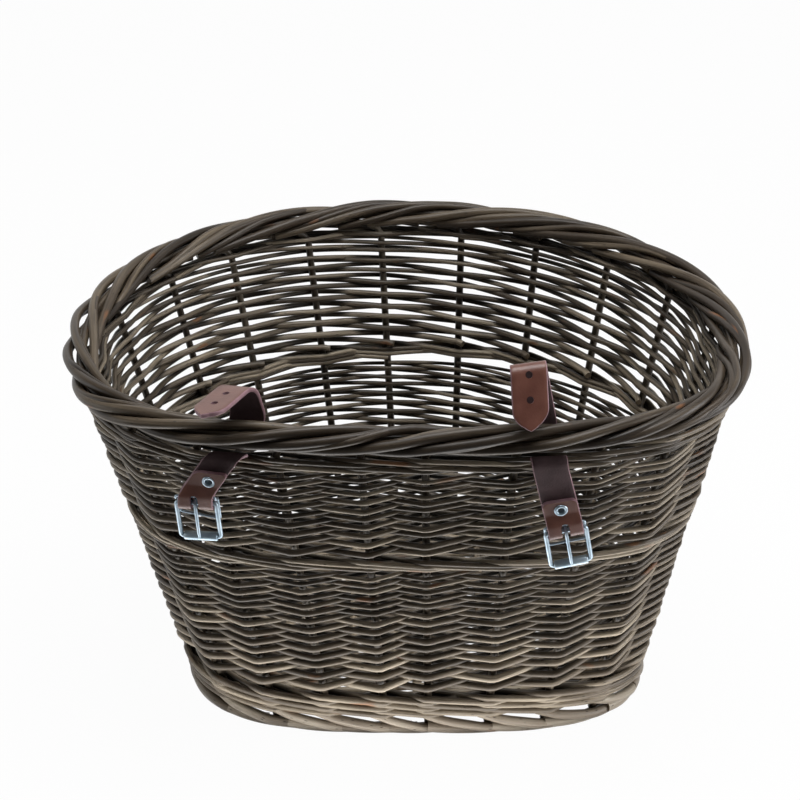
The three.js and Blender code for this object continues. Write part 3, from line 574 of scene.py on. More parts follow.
def rings(path, radius, reference, sides, closed=False):
    """Rings of points round a path, with a radius per point of the path, and the angles within a ring."""
    ahead = np.roll(path, -1, 0) - np.roll(path, 1, 0) if closed else np.gradient(path, axis=0)
    ahead = unit(ahead)
    side = unit(np.cross(ahead, reference))
    up = np.cross(side, ahead)
    angle = 2 * np.pi * np.arange(sides) / sides
    ring = np.cos(angle)[None, :, None] * side[:, None] + np.sin(angle)[None, :, None] * up[:, None]
    return path[:, None] + ring * radius[:, None, None], angle


def ring_faces(index, closed=False):
    """Faces between successive rings of point numbers; a closed row joins its last ring to its first."""
    a, b = (index, np.roll(index, -1, 0)) if closed else (index[:-1], index[1:])
    return np.stack([a, b, np.roll(b, -1, 1), np.roll(a, -1, 1)], -1).reshape(-1, 4).tolist()


# Willow rods

class Bundle:
    """Many round rods gathered into one mesh, with the values that the willow reads at each point."""

    def __init__(self, sides):
        self.sides = sides
        self.count = 0
        self.faces = []
        self.points = []
        self.grain = []
        self.tone = []
        self.cut = []
        self.deep = []

    def add_points(self, points, grain, tone, cut, deep):
        """Adds points with their values and gives their numbers."""
        self.points.append(points)
        self.grain.append(grain)
        self.tone.append(np.full(len(points), tone))
        self.cut.append(np.full(len(points), cut))
        self.deep.append(deep)
        self.count += len(points)
        return np.arange(self.count - len(points), self.count)

    def rod(self, path, radius, reference=UP, deep=None):
        """One rod along a path, with a radius per point. Deep gives, for points on its skin relative to the
        path, how much painted shade they take from how deep they lie in the weave, from 0 to 1."""
        radius = np.broadcast_to(np.asarray(radius, float), len(path))
        skin, angle = rings(path, radius, np.asarray(reference, float), self.sides)
        run = np.broadcast_to(distances(path)[:, None], skin.shape[:2])
        # Each rod takes the grain from a place of its own.
        start = rng.uniform(0, 900, 3)
        across = radius[:, None] * np.cos(angle)
        upwards = radius[:, None] * np.sin(angle)
        grain = np.stack([run, across, upwards], -1) + start
        tone = rng.uniform(0.25, 1.0)
        # Painted shade: the skin is darker where it lies deep in the weave.
        painted_shade = np.zeros(skin.shape[:2]) if deep is None else deep(skin - path[:, None])
        index = self.add_points(skin.reshape(-1, 3), grain.reshape(-1, 3), tone, 0.0, painted_shade.ravel())
        self.faces += ring_faces(index.reshape(len(path), self.sides))
        # Cut ends have points of their own, so that their colour doesn't run into the skin.
        first_end = self.add_points(skin[0], grain[0], tone, 1.0, painted_shade[0])
        self.faces.append(first_end.tolist())
        last_end = self.add_points(skin[-1], grain[-1], tone, 1.0, painted_shade[-1])
        self.faces.append(last_end[::-1].tolist())

    def build(self, name, material, nodes):
        """Makes the piece that takes the place of these nodes."""
        piece = new_piece(name, np.concatenate(self.points), self.faces, [material])
        grain = piece.data.attributes.new("grain", "FLOAT_VECTOR", "POINT")
        grain.data.foreach_set("vector", (np.concatenate(self.grain) * MM).astype(np.float32).ravel())
        for attribute, values in (("tone", self.tone), ("cut", self.cut), ("deep", self.deep)):
            made = piece.data.attributes.new(attribute, "FLOAT", "POINT")
            made.data.foreach_set("value", np.concatenate(values).astype(np.float32))
        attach(piece, "basket")
        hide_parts(*nodes)


def weaver(bundle, first, offs, heights, radii, butt=0.0):
    """One weaving rod over successive stakes, from values at each stake; it runs straight in between.
    A butt starts that share of a gap before the first stake."""
    gaps = len(offs) - 1
    at = np.append((np.arange(gaps)[:, None] + KINKS).ravel(), gaps)
    low = np.minimum(np.floor(at).astype(int), gaps - 1)
    part = at - low
    across = np.clip((part - KINK_SHARE) / (1 - 2 * KINK_SHARE), 0, 1)
    off = offs[low] * (1 - across) + offs[low + 1] * across
    z = heights[low] * (1 - part) + heights[low + 1] * part
    radius = radii[low] * (1 - part) + radii[low + 1] * part
    if butt:
        at = np.append(-butt, at)
        off = np.append(off[0] - BUTT_IN, off)
        z = np.append(z[0] - BUTT_DOWN, z)
        radius = np.append(radius[0], radius)
    turn = stake_at(first + at)
    out = outward(turn)
    # The outer rods stand furthest from the middle of the wall at a stake and least half way between two.
    surface = CROSSING_OUT + (STAKE_OUT - CROSSING_OUT) * np.abs(1 - 2 * np.mod(at, 1.0))

    # Painted shade, from how far inside the outer rods each point of the skin lies.
    def deep(skin):
        from_middle = off[:, None] + np.einsum("nsk,nk->ns", skin[..., :2], out)
        return np.clip((surface[:, None] - np.abs(from_middle)) / FULL_SHADE_DEPTH, 0, 1) * PAINTED_SHADE_SHARE

    bundle.rod(wall(turn, z, off - STAKE_INSET), radius, deep=deep)


def randing(name, low, near_high, far_high, rounds, thick, thin, near_fill, far_fill):
    """French randing: as many rods as stakes, each in front of one and behind one, climbing as it goes.
    The butts start inside at the bottom of the band and the tips end at its top. The rods taper from thick to
    thin, and fill is the share of that thickness on the handlebar side and on the front."""
    bundle = Bundle(8)
    strokes = 2 * rounds
    step = np.arange(strokes + 1)
    in_front = step % 2 == 1
    diameter = thick + (thin - thick) * step / strokes
    climb = np.concatenate([[0], np.cumsum((diameter[1:] + diameter[:-1]) / 2)])
    climb = climb / climb[-1]
    for first in range(-1, STAKES - 1):
        far = far_share(stake_at(first + step))
        radius = diameter / 2 * (near_fill + (far_fill - near_fill) * far) * rng.uniform(*RAND_SPREAD)
        off = np.where(in_front, FRONT_OF_STAKE + radius, -BEHIND_STAKE - radius)
        off = off + rng.normal(0, RAND_PLAY_OUT, len(step))
        high = near_high + (far_high - near_high) * far
        z = low + BAND_FOOT + (high - low - BAND_ROOM) * climb + np.where(in_front, -STROKE_DIP, STROKE_DIP)
        z = z + rng.normal(0, RAND_PLAY_UP, len(step))
        weaver(bundle, first, off, z, radius, BUTT_SHARE)
    bundle.build(name, WILLOW, [name])


def waling(name, low, far_low, high, rounds, diameter):
    """Three-rod wale: each rod goes in front of two stakes and behind one; the newest stroke lies on top."""
    bundle = Bundle(8)
    strokes = rounds * STAKES + 3
    start = STAKES // 2
    step = np.arange(strokes + 1)
    bottom = low + (far_low - low) * far_share(stake_at(start + step))
    rise = np.maximum(high - bottom - WALE_TWIST * diameter, 0) * step / strokes
    for r in range(3):
        phase = (step + r) % 3
        radius = diameter / 2 * rng.uniform(*WALE_SPREAD) * (1 + rng.normal(0, 0.03, len(step)))
        off = np.where(phase == 2, -1.0, 1.0) * (STAKE_RADIUS + diameter / 2)
        off = off + rng.normal(0, WALE_PLAY, len(step))
        lift = np.choose(phase, WALE_LIFT) * diameter
        z = bottom + diameter / 2 + rise + lift + rng.normal(0, WALE_PLAY, len(step))
        weaver(bundle, start, off, np.minimum(z, high - diameter / 2), radius)
    bundle.build(name, WILLOW, [name])


def stakes():
    """Upright stakes, which bend over to the right inside the rim border."""
    bundle = Bundle(8)
    upright = np.linspace(STAKE_FOOT, BORDER_LOW - 4, 28)
    z = np.concatenate([upright, BORDER_LOW + np.array([0.0, 3.5, 6.0, 7.0])])
    turn = np.concatenate([np.zeros(len(upright)), [0.05, 0.2, 0.5, 0.8]])
    radius = np.linspace(STAKE_RADIUS, STAKE_RADIUS * STAKE_TAPER, len(z))

    # The stakes stand in the middle of the wall and take an even share of painted shade.
    def deep(skin):
        return np.full(skin.shape[:2], STAKE_PAINTED_SHADE)

    for m in range(STAKES):
        off = np.interp(z, np.linspace(STAKE_FOOT, BORDER_LOW, 5), rng.normal(0, STAKE_PLAY, 5))
        path = wall(stake_at(m + turn), z, off - STAKE_INSET)
        # The reference lies across a stake and is parallel to none of its stretches.
        bundle.rod(path, radius, reference=(0.13, 1, 0), deep=deep)
    bundle.build("stakes", WILLOW, [f"stake_{i + 1:02d}" for i in range(STAKES)])


def drift(count, size):
    """Smooth random drift along a rod."""
    return np.interp(np.linspace(0, 1, count), np.linspace(0, 1, 7), rng.normal(0, size, 7))


def rim_border():
    """Rolled border: each rod climbs from below the border round its outside, over the top and down inside,
    with a thinner rod beside it. The rods lie loosely, most of all on the two rounded sides."""
    bundle = Bundle(10)
    middle = (BORDER_LOW + HEIGHT) / 2
    half_high = (HEIGHT - BORDER_LOW) / 2
    w = np.linspace(0, 1, 64)
    angle = np.radians(BORDER_START + BORDER_SWEEP * w)
    for r in range(STAKES):
        for thick, stakes_along, depth, shift in BORDER_RODS:
            at = stake_at(r + shift + rng.normal(0, BORDER_PLAY) + stakes_along * w)
            radius = thick * rng.uniform(*BORDER_SPREAD) * (1 - BORDER_TAPER * w)
            loose = BORDER_LOOSE * np.abs(wall(at, HEIGHT, 0)[:, 0] / RIM_HALF_WIDTH) ** 4 * rng.uniform(0, 1)
            wide = BORDER_HALF_WIDE - depth - radius + drift(len(w), BORDER_DRIFT_OUT) + loose
            high = half_high - depth - radius + drift(len(w), BORDER_DRIFT_UP) + loose / 2
            bundle.rod(wall(at, middle + high * np.sin(angle), wide * np.cos(angle)), radius)
    # The core overlaps itself a little where its ends meet.
    bundle.rod(wall(np.linspace(0.1, 1.12, 200), middle, 0), BORDER_CORE)
    bundle.build("rim_border", WILLOW_BORDER_PAINTED_SHADE, ["rim_border"])


def foot_border():
    """Foot border: from under the bottom wale a rod slants down to the right at each stake, lies along the
    ground and tucks in, and a thick butt beside each stake lies along the ground under it."""
    bundle = Bundle(10)
    w = np.linspace(0, 1, 44)
    v = np.linspace(0, 1, 24)
    for r in range(STAKES):
        at = np.interp(w, FOOT_KNOTS, FOOT_STAKES) + rng.normal(0, FOOT_PLAY)
        z = np.interp(w, FOOT_KNOTS, FOOT_LEVELS)
        off = np.interp(w, FOOT_KNOTS, FOOT_OUT)
        radius = rng.uniform(*FOOT_RADIUS) * np.interp(w, FOOT_TAPER_AT, FOOT_TAPER)
        for values in (at, z, off):
            for _ in range(3):
                values[1:-1] = (values[:-2] + 2 * values[1:-1] + values[2:]) / 4
        bundle.rod(wall(stake_at(r + at), np.maximum(z, radius + FOOT_CLEAR), off), radius)
        thick = rng.uniform(*FOOT_BUTT_RADIUS) * (1 - FOOT_BUTT_TAPER * v)
        along = stake_at(r + FOOT_BUTT_START + rng.normal(0, FOOT_BUTT_PLAY) + FOOT_BUTT_LENGTH * v)
        level = thick + FOOT_CLEAR + FOOT_BUTT_RISE * (1 - v) ** 2
        bundle.rod(wall(along, level, FOOT_BUTT_OUT - FOOT_BUTT_IN * v ** 2), thick)
    bundle.build("foot_border", WILLOW_FOOT_PAINTED_LIGHT, ["foot_border"])


def base():
    """Base woven on five sticks, with rods packed across them."""
    bundle = Bundle(8)
    middle = (BASE_LOW + BASE_HIGH) / 2
    number = np.arange(BASE_STICKS)
    sticks = MIDDLE[0] + BASE_SHIFT + BASE_HALF_WIDTH * STICK_SPAN * (number - BASE_STICKS // 2) / BASE_STICKS
    edge = wall(np.linspace(0, 1, 721), BASE_LOW, BASE_EDGE)
    for x in sticks:
        near = edge[np.abs(edge[:, 0] - x) < 1.2]
        y = np.linspace(near[:, 1].min() + 1, near[:, 1].max() - 1, 24)
        bundle.rod(np.stack([np.full(len(y), x), y, np.full(len(y), middle)], -1), STICK_RADIUS)
    y = edge[:, 1].min() + 1.5
    row = 0
    while y < edge[:, 1].max() - 1.5:
        near = edge[np.abs(edge[:, 1] - y) < 1.5]
        x = np.linspace(near[:, 0].min() + 1, near[:, 0].max() - 1, 90)
        side = np.interp(x, sticks, np.where(number % 2 == row % 2, 1.0, -1.0))
        bundle.rod(np.stack([x, np.full(len(x), y), middle + side * CROSS_STEP], -1), CROSS_RADIUS)
        y += CROSS_PITCH
        row += 1
    bundle.build("base", WILLOW, ["base_weave"] + [f"base_stick_{i + 1}" for i in number])


# Straps

def strap_place(side):
    """Where a strap crosses the rim: outward and along directions, the place below it on the ground, and the
    distance outwards of its middle behind the border."""
    ts = np.arange(-250, 251) / 1000
    t = ts[np.argmin(np.abs(wall(ts, HEIGHT, 0)[:, 0] - MIDDLE[0] - side["at"]))]
    n = outward(t)
    out = np.array([n[0], n[1], 0.0])
    along = np.array([-n[1], n[0], 0.0])
    ground = wall(t, HEIGHT, 0) * np.array([1, 1, 0])
    inner = 0.0
    for z in (BORDER_LOW + (HEIGHT - BORDER_LOW) * BORDER_UPRIGHT_FROM, HEIGHT):
        near = wall(t + np.arange(-50, 51) / 1000, z, -BORDER_INNER) - ground - UP * z
        beside = near[np.abs(near @ along) < STRAP_WIDTH / 2 + SLOT_ROOM]
        inner = min(inner, (beside @ out).min())
    inside = inner - 2 * CLEAR - STRAP_THICKNESS / 2
    return SimpleNamespace(out=out, along=along, ground=ground, inside=inside)


def slot_path(side):
    """Middle line of the strap through the slot, from inside above to outside below."""
    rim = strap_place(side)
    rows = [(rim.inside, TAIL_LOW)]
    rows += arc(rim.inside + STRAP_BEND, SLOT_Z + STRAP_BEND, STRAP_BEND, 180, 270, 8)
    rows += arc(OUTSIDE_O - STRAP_BEND, SLOT_Z - STRAP_BEND, STRAP_BEND, 90, 0, 8)
    rows += [(OUTSIDE_O, TAB_HIGH)]
    runs = distances(np.array(rows))
    sideways = (runs - runs[-1] / 2) * slope(side["slot_lean"])
    return [rim.ground + rim.out * o + rim.along * x + UP * z for (o, z), x in zip(rows, sideways)]


def upper_path(side):
    """The strap from the middle of the slot up inside the rim, over its fold to the tip, with the directions
    across it; also the centres of its two punched holes, the direction through them and the crease."""
    rim = strap_place(side)
    slot = slot_path(side)
    lean = math.radians(-side["tail_lean"])
    rising = UP * math.cos(lean) + rim.along * math.sin(lean)
    path = [(p, rim.along) for p in slot[:len(slot) // 2][::-1]]
    tilt = math.radians(side["crease"])
    crease = turned(rim.along * math.cos(tilt) + UP * math.sin(tilt), UP, -math.radians(side["turn"]))
    height = (HEIGHT + side["rise"] - TAIL_LOW) / math.cos(lean)
    for q in np.linspace(0.1, 1, 10):
        path.append((slot[0] + rising * height * q, unit(rim.along + (crease - rim.along) * eased(q))))
    climb = rising - crease * (rising @ crease)
    sideways = crease * (rising @ crease) / np.linalg.norm(climb)
    climb = unit(climb)
    forward = np.cross(climb, crease)
    forward = forward if forward @ rim.out > 0 else -forward
    top = path[-1][0]
    bend = math.radians(side["bend"])
    for angle in bend * np.linspace(0.06, 1, 16):
        folded = climb * math.sin(angle) + forward * (1 - math.cos(angle)) + sideways * angle
        path.append((top + folded * side["fold"], crease))
    fold_end = path[-1][0]
    heading = climb * math.cos(bend) + forward * math.sin(bend) + sideways
    path.append((fold_end + heading * side["tail"], crease))
    holes = [fold_end + heading * (side["tail"] - from_tip) for from_tip in side["holes"]]
    return path, holes, unit(np.cross(heading, crease)), crease


def hanging_length(side):
    """From the lower end of the slot's bend down to the heel bar."""
    return TAB_HIGH - (BORDER_LOW - side["heel_drop"])


def buckle_place(side):
    """Frame of a buckle: at() takes distances across the strap, down from the heel bar and outwards, and
    shear is the lean of the strap in that frame."""
    rim = strap_place(side)
    drop = hanging_length(side)
    tilt = math.radians(TAB_TILT)
    hang = math.radians(side["hang"])
    shear = slope(side["tab_lean"] - side["hang"])
    sideways = (drop - LEAN_FROM) * shear + drop * math.tan(hang)
    heel = slot_path(side)[-1] + rim.along * sideways + rim.out * (LAYER - drop * math.tan(tilt)) - UP * drop
    fall = -rim.out * math.sin(tilt) - UP * math.cos(tilt)
    down = fall * math.cos(hang) + rim.along * math.sin(hang)
    across = rim.along * math.cos(hang) - fall * math.sin(hang)
    front = np.cross(down, across)
    front = front if front @ rim.out > 0 else -front

    def at(u, q, p):
        return heel + across * u + down * q + front * p

    return SimpleNamespace(at=at, across=across, front=front, shear=shear)


def lower_path(side):
    """The strap from the middle of the slot down outside the wall, round the heel bar and up again as a flap.
    It leans evenly and twists a little, with its right edge away from the wall."""
    rim = strap_place(side)
    slot = slot_path(side)
    buckle = buckle_place(side)
    drop = hanging_length(side)

    def leaning(q):
        return min(q + side["lean_from"], 0) * buckle.shear * side["lean_share"]

    aside = leaning(-drop) - min(LEAN_FROM - drop, 0) * buckle.shear
    outer = slot[len(slot) // 2:]
    path = [(p + rim.along * aside * w, rim.along) for p, w in zip(outer, np.linspace(0, 1, len(outer)))]
    rows = [(-LAYER, -FLAP_CLOSED), (-LAYER, -LEAN_FROM), (-LAYER, 0)]
    rows += arc(0, 0, LAYER, 165, 15, 10)
    rows += [(LAYER, 0), (LAYER - CLEAR, -LEAN_FROM)]
    rows += [(FLAP_SHUT - LAYER, -FLAP_CLOSED), (FLAP_SHUT - LAYER, -FLAP_LENGTH)]
    for p, q in rows:
        twist = math.radians(side["twist"]) * min(max((-q - TWIST_FROM) / TWIST_OVER, 0), 1)
        edge = buckle.across * math.cos(twist) + buckle.front * math.sin(twist)
        path.append((buckle.at(leaning(q), q, p) + buckle.front * TWIST_ARM * math.sin(twist), edge))
    return path


def ribbon(name, path, ends, sides, tip, soft):
    """Flat strap along a path of centres and directions across it, with rounded edges. A pointed tip narrows
    to a blunt point and a square one has rounded corners. Sides are the materials to the left and right of
    the way it runs, and soft is the rounds of smoothing."""
    centre, across = (np.array(v) for v in zip(*path))
    run = distances(centre)
    at = np.linspace(0, run[-1], int(run[-1] / STRAP_STEP))
    # Close rows at the tip keep its curve smooth.
    at = np.sort(np.concatenate([at, run[-1] - tip * np.array([0.16, 0.08, 0.03, 0.01, 0.002])]))
    centre = np.stack([np.interp(at, run, centre[:, i]) for i in range(3)], -1)
    across = np.stack([np.interp(at, run, across[:, i]) for i in range(3)], -1)
    for _ in range(soft):
        for values in (centre, across):
            values[1:-6] = (values[:-7] + 2 * values[1:-6] + values[2:-5]) / 4
    across = unit(across)
    face = unit(np.cross(np.gradient(centre, at, axis=0), across))
    left = np.clip((run[-1] - at) / tip, 0, 1)
    if ends == "pointed":
        share = 1 - (1 - left) ** TIP_POWER
    else:
        share = 1 - FLAP_CORNER_SHARE * (1 - np.sqrt(1 - (1 - left) ** 2))
    half = STRAP_WIDTH / 2 * np.maximum(share, TIP_BLUNT)
    thick = STRAP_THICKNESS / 2
    flat = np.linspace(-1, 1, 9)
    # Rounded edge: shares of its depth and of half the thickness.
    edge = [(0.38, 0.92), (0.8, 0.6), (1.0, 0.2), (1.0, -0.2), (0.8, -0.6), (0.38, -0.92)]
    rows = []
    for c, a, f, h in zip(centre, across, face, half):
        inner = max(h - STRAP_EDGE, h * 0.2)
        rim = h - inner
        row = [c + a * inner * u + f * thick for u in flat]
        row += [c + a * (inner + rim * u) + f * thick * v for u, v in edge]
        row += [c + a * inner * u - f * thick for u in flat[::-1]]
        row += [c - a * (inner + rim * u) + f * thick * v for u, v in edge[::-1]]
        rows.append(row)
    points = np.array(rows)
    index = np.arange(points.shape[0] * points.shape[1]).reshape(points.shape[:2])
    faces = ring_faces(index) + [index[0].tolist(), index[-1][::-1].tolist()]
    # Material of each face round a row: a side, an edge, the other side, the other edge; the ends are edges.
    around = [0] * (len(flat) - 1) + [2] * (len(edge) + 1) + [1] * (len(flat) - 1) + [2] * (len(edge) + 1)
    kinds = around * (len(rows) - 1) + [2, 2]
    return new_piece(name, points.reshape(-1, 3), faces, [*sides, CUT_EDGE], kinds)


def cut_out(piece, cutters):
    """Cuts the shapes out of a piece; the cut faces show the cutters' material."""
    for cutter in cutters:
        change = piece.modifiers.new("cut", "BOOLEAN")
        change.operation = "DIFFERENCE"
        change.solver = "EXACT"
        change.object = cutter
        change.material_mode = "TRANSFER"
    bpy.context.view_layer.update()
    seen = piece.evaluated_get(bpy.context.evaluated_depsgraph_get())
    mesh = bpy.data.meshes.new_from_object(seen)
    piece.modifiers.clear()
    piece.data = mesh
    mesh.set_sharp_from_angle(angle=math.radians(42))
    for cutter in cutters:
        bpy.data.objects.remove(cutter)


def wire(path, radius, reference, sides=14, closed=False):
    """Points and faces of a round wire along a path, with a radius per point."""
    path = np.asarray(path, float)
    radius = np.broadcast_to(np.asarray(radius, float), len(path))
    points = rings(path, radius, reference, sides, closed)[0]
    index = np.arange(len(path) * sides).reshape(len(path), sides)
    faces = ring_faces(index, closed)
    if not closed:
        faces += [index[0].tolist(), index[-1][::-1].tolist()]
    return points.reshape(-1, 3), faces


def wire_loop(half_width, top, bottom, corner, place, kinks):
    """Rectangle of wire with rounded corners, from points across and down that are put in place. Its upright
    sides have points at the kinks as well."""
    wide = half_width - corner
    bar = (0.4 * half_width, 0.0, -0.4 * half_width)
    outline = arc(wide, bottom - corner, corner, 0, 90, 8) + [(u, bottom) for u in bar]
    outline += arc(-wide, bottom - corner, corner, 90, 180, 8) + [(-half_width, q) for q in kinks[::-1]]
    outline += arc(-wide, top + corner, corner, 180, 270, 8) + [(u, top) for u in bar[::-1]]
    outline += arc(wide, top + corner, corner, 270, 360, 8) + [(half_width, q) for q in kinks]
    return [place(u, q) for u, q in outline]


def turned_ring(centre, axis, across, profile, steps=32):
    """Points and faces of a closed profile of radius and height, turned round an axis."""
    third = np.cross(axis, across)
    rows = []
    for angle in 2 * np.pi * np.arange(steps) / steps:
        spoke = across * math.cos(angle) + third * math.sin(angle)
        rows.append([centre + spoke * r + axis * h for r, h in profile])
    index = np.arange(steps * len(profile)).reshape(steps, -1)
    return np.array(rows).reshape(-1, 3), ring_faces(index, closed=True)


def metal(name, shape, body, node, finish=STEEL_WIRE):
    """Piece of plated steel, with its sharp edges kept."""
    piece = new_piece(name, *shape, [finish])
    piece.data.set_sharp_from_angle(angle=math.radians(50))
    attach(piece, body)
    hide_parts(node)


def upper_strap(side):
    """Free end of a strap, with its punched holes."""
    name = side["name"]
    path, holes, through, crease = upper_path(side)
    upper = ribbon(f"strap_{name}_upper", path, "pointed", (GRAIN_SIDE, FLESH_SIDE), TIP_LENGTH, side["soft"])
    cutters = []
    for at in holes:
        punch = wire([at - through * 4, at + through * 4], HOLE_RADIUS, crease, 20)
        cutters.append(new_piece("hole", *punch, [CUT_EDGE]))
    cut_out(upper, cutters)
    top = slot_path(side)[0]
    start, end = ((top + UP * (level - top[2])) * MM for level in TAIL_BEND_LEVELS)
    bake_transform(upper)
    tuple(start)
    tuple(end)
    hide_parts(f"strap_{name}_middle", f"strap_{name}_tail")


def eyelet_place(buckle):
    """Middle of the eyelet, between the strap and the flap."""
    return buckle.at(min(LEAN_FROM - EYELET_UP, 0) * buckle.shear, -EYELET_UP, FLAP_SHUT / 2 - LAYER)


def lower_strap(side, buckle):
    """Hanging part of a strap, with the prong's slot and the eyelet's hole."""
    name = side["name"]
    path = lower_path(side)
    lower = ribbon(f"strap_{name}_lower", path, "square", (FLESH_SIDE, GRAIN_SIDE), FLAP_CORNER, soft=2)
    deep = 12
    outline = ((-PRONG_SLOT_TOP, -deep), (deep, -deep), (deep, deep), (-PRONG_SLOT_TOP, deep))
    corners = [buckle.at(u, q, p) for u in (-PRONG_SLOT_HALF, PRONG_SLOT_HALF) for q, p in outline]
    box_faces = [(0, 1, 2, 3), (7, 6, 5, 4), (4, 5, 1, 0), (5, 6, 2, 1), (6, 7, 3, 2), (7, 4, 0, 3)]
    slot_end = [buckle.at(0, -PRONG_SLOT_TOP, -deep), buckle.at(0, -PRONG_SLOT_TOP, deep)]
    middle = eyelet_place(buckle)
    hole = [middle - buckle.front * 8, middle + buckle.front * 8]
    hole_radius = EYELET_BORE + EYELET_WALL + EYELET_PLAY
    cut_out(lower, [
        new_piece("slot", corners, box_faces, [CUT_EDGE]),
        new_piece("slot_end", *wire(slot_end, PRONG_SLOT_HALF, buckle.across, 20), [CUT_EDGE]),
        new_piece("hole", *wire(hole, hole_radius, buckle.across, 20), [CUT_EDGE]),
    ])
    bottom = slot_path(side)[-1]
    out = strap_place(side).out
    start, end = ((bottom + out * (o - OUTSIDE_O) + UP * (level - TAB_HIGH)) * MM
                  for o, level in zip(TAB_BEND_OUT, TAB_BEND_LEVELS))
    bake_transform(lower)
    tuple(start)
    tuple(end)
    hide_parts(f"strap_{name}_tab")


def eyelet(name, buckle):
    """Eyelet: rolled flanges on both faces of a short tube."""
    reach = FLAP_SHUT / 2 + STRAP_THICKNESS / 2 + CLEAR
    radius = EYELET_BORE + EYELET_WALL
    half_flange = (EYELET_RADIUS - EYELET_BORE) / 2
    turn = np.linspace(0, math.pi, 9)
    roll = [(radius - math.cos(a) * half_flange, reach + EYELET_ROLL * math.sin(a)) for a in turn]
    profile = roll + [(radius, reach), (radius, -reach)] + [(r, -h) for r, h in roll[::-1]]
    shape = turned_ring(eyelet_place(buckle), buckle.front, buckle.across, profile)
    metal(f"eyelet_{name}_ring", shape, f"strap_tab_{name}", f"eyelet_{name}")


def buckle_wire(name, buckle):
    """Frame of the buckle, bent from wire."""
    def place(u, q):
        return buckle.at(u, q, 0)

    loop = wire_loop(BUCKLE_HALF_WIDTH, 0, BUCKLE_LENGTH, BUCKLE_CORNER, place, BUCKLE_KINKS)
    shape = wire(loop, WIRE_SEEN, buckle.front, closed=True)
    metal(f"buckle_{name}_wire", shape, f"buckle_{name}", f"buckle_frame_{name}")


def roller(name, buckle):
    """Tube that turns on the end bar of the buckle, with bevelled ends."""
    long = ROLLER_HALF_LENGTH
    end = [(ROLLER_RADIUS, long / 2), (ROLLER_RADIUS, long - ROLLER_BEVEL_LONG),
           (ROLLER_RADIUS - ROLLER_BEVEL_IN, long), (ROLLER_BORE, long)]
    profile = [(r, -h) for r, h in end[::-1]] + end
    shape = turned_ring(buckle.at(0, BUCKLE_LENGTH, 0), buckle.across, buckle.front, profile)
    metal(f"buckle_{name}_tube", shape, f"roller_{name}", f"buckle_roller_{name}", STEEL_TUBE_PAINTED_BRIGHT)


def prong(name, buckle):
    """Prong: hooked round the heel bar, it rests on the front of the roller and tapers to a blunt point."""
    rest = math.sqrt((ROLLER_RADIUS + PRONG_GAP + PRONG_RADIUS) ** 2 - PRONG_SHORT ** 2) + CLEAR
    tip = BUCKLE_LENGTH - PRONG_SHORT
    path = [buckle.at(0, q, p) for p, q in arc(0, 0, PRONG_HOOK, 80, 350, 24)]
    leg_q = np.linspace(2 * PRONG_HOOK, tip, 12)
    leg_p = np.linspace(PRONG_HOOK + CLEAR, rest, 12)
    path += [buckle.at(0, q, p) for q, p in zip(leg_q, leg_p)]
    path.append(path[-1] + unit(path[-1] - path[-2]) * PRONG_POINT)
    radii = [PRONG_RADIUS] * (len(path) - len(PRONG_TAPER)) + PRONG_TAPER
    metal(f"buckle_{name}_tongue", wire(path, radii, buckle.across), f"prong_{name}", f"buckle_prong_{name}")


def keeper(name, buckle, skew):
    """Loose wire loop in the fold, which hangs behind the buckle."""
    def place(u, q):
        droop = skew * u * max(q, 0) / KEEPER_DROP
        back = min(KEEPER_BACK, KEEPER_SLOPE * max(0, q + KEEPER_TOP - KEEPER_CORNER))
        return buckle.at(u, q + droop, -back)

    kink = KEEPER_BACK / KEEPER_SLOPE + KEEPER_CORNER - KEEPER_TOP
    kinks = (kink - 1.0, kink, kink + 1.0)
    loop = wire_loop(KEEPER_HALF_WIDTH, -KEEPER_TOP, KEEPER_DROP, KEEPER_CORNER, place, kinks)
    shape = wire(loop, KEEPER_RADIUS, buckle.front, sides=12, closed=True)
    metal(f"keeper_{name}_wire", shape, f"keeper_{name}", f"keeper_loop_{name}")


# Stage: white paper on the floor and up the backdrop, softboxes overhead and on both sides, and a low panel.

def plane(name, corners, material):
    piece = new_piece(name, corners, [(0, 1, 2, 3)], [material])


def softbox(name, place, aim, size, power):
    lamp = bpy.data.lights.new(name, "AREA")
    lamp.shape = "RECTANGLE"
    lamp.size = size[0]
    lamp.size_y = size[1]
    lamp.energy = power
    piece = bpy.data.objects.new(name, lamp)
    piece.location = place
    piece.rotation_euler = (Vector(aim) - Vector(place)).to_track_quat("-Z", "Y").to_euler()
    piece.visible_camera = False
    bpy.context.scene.collection.objects.link(piece)


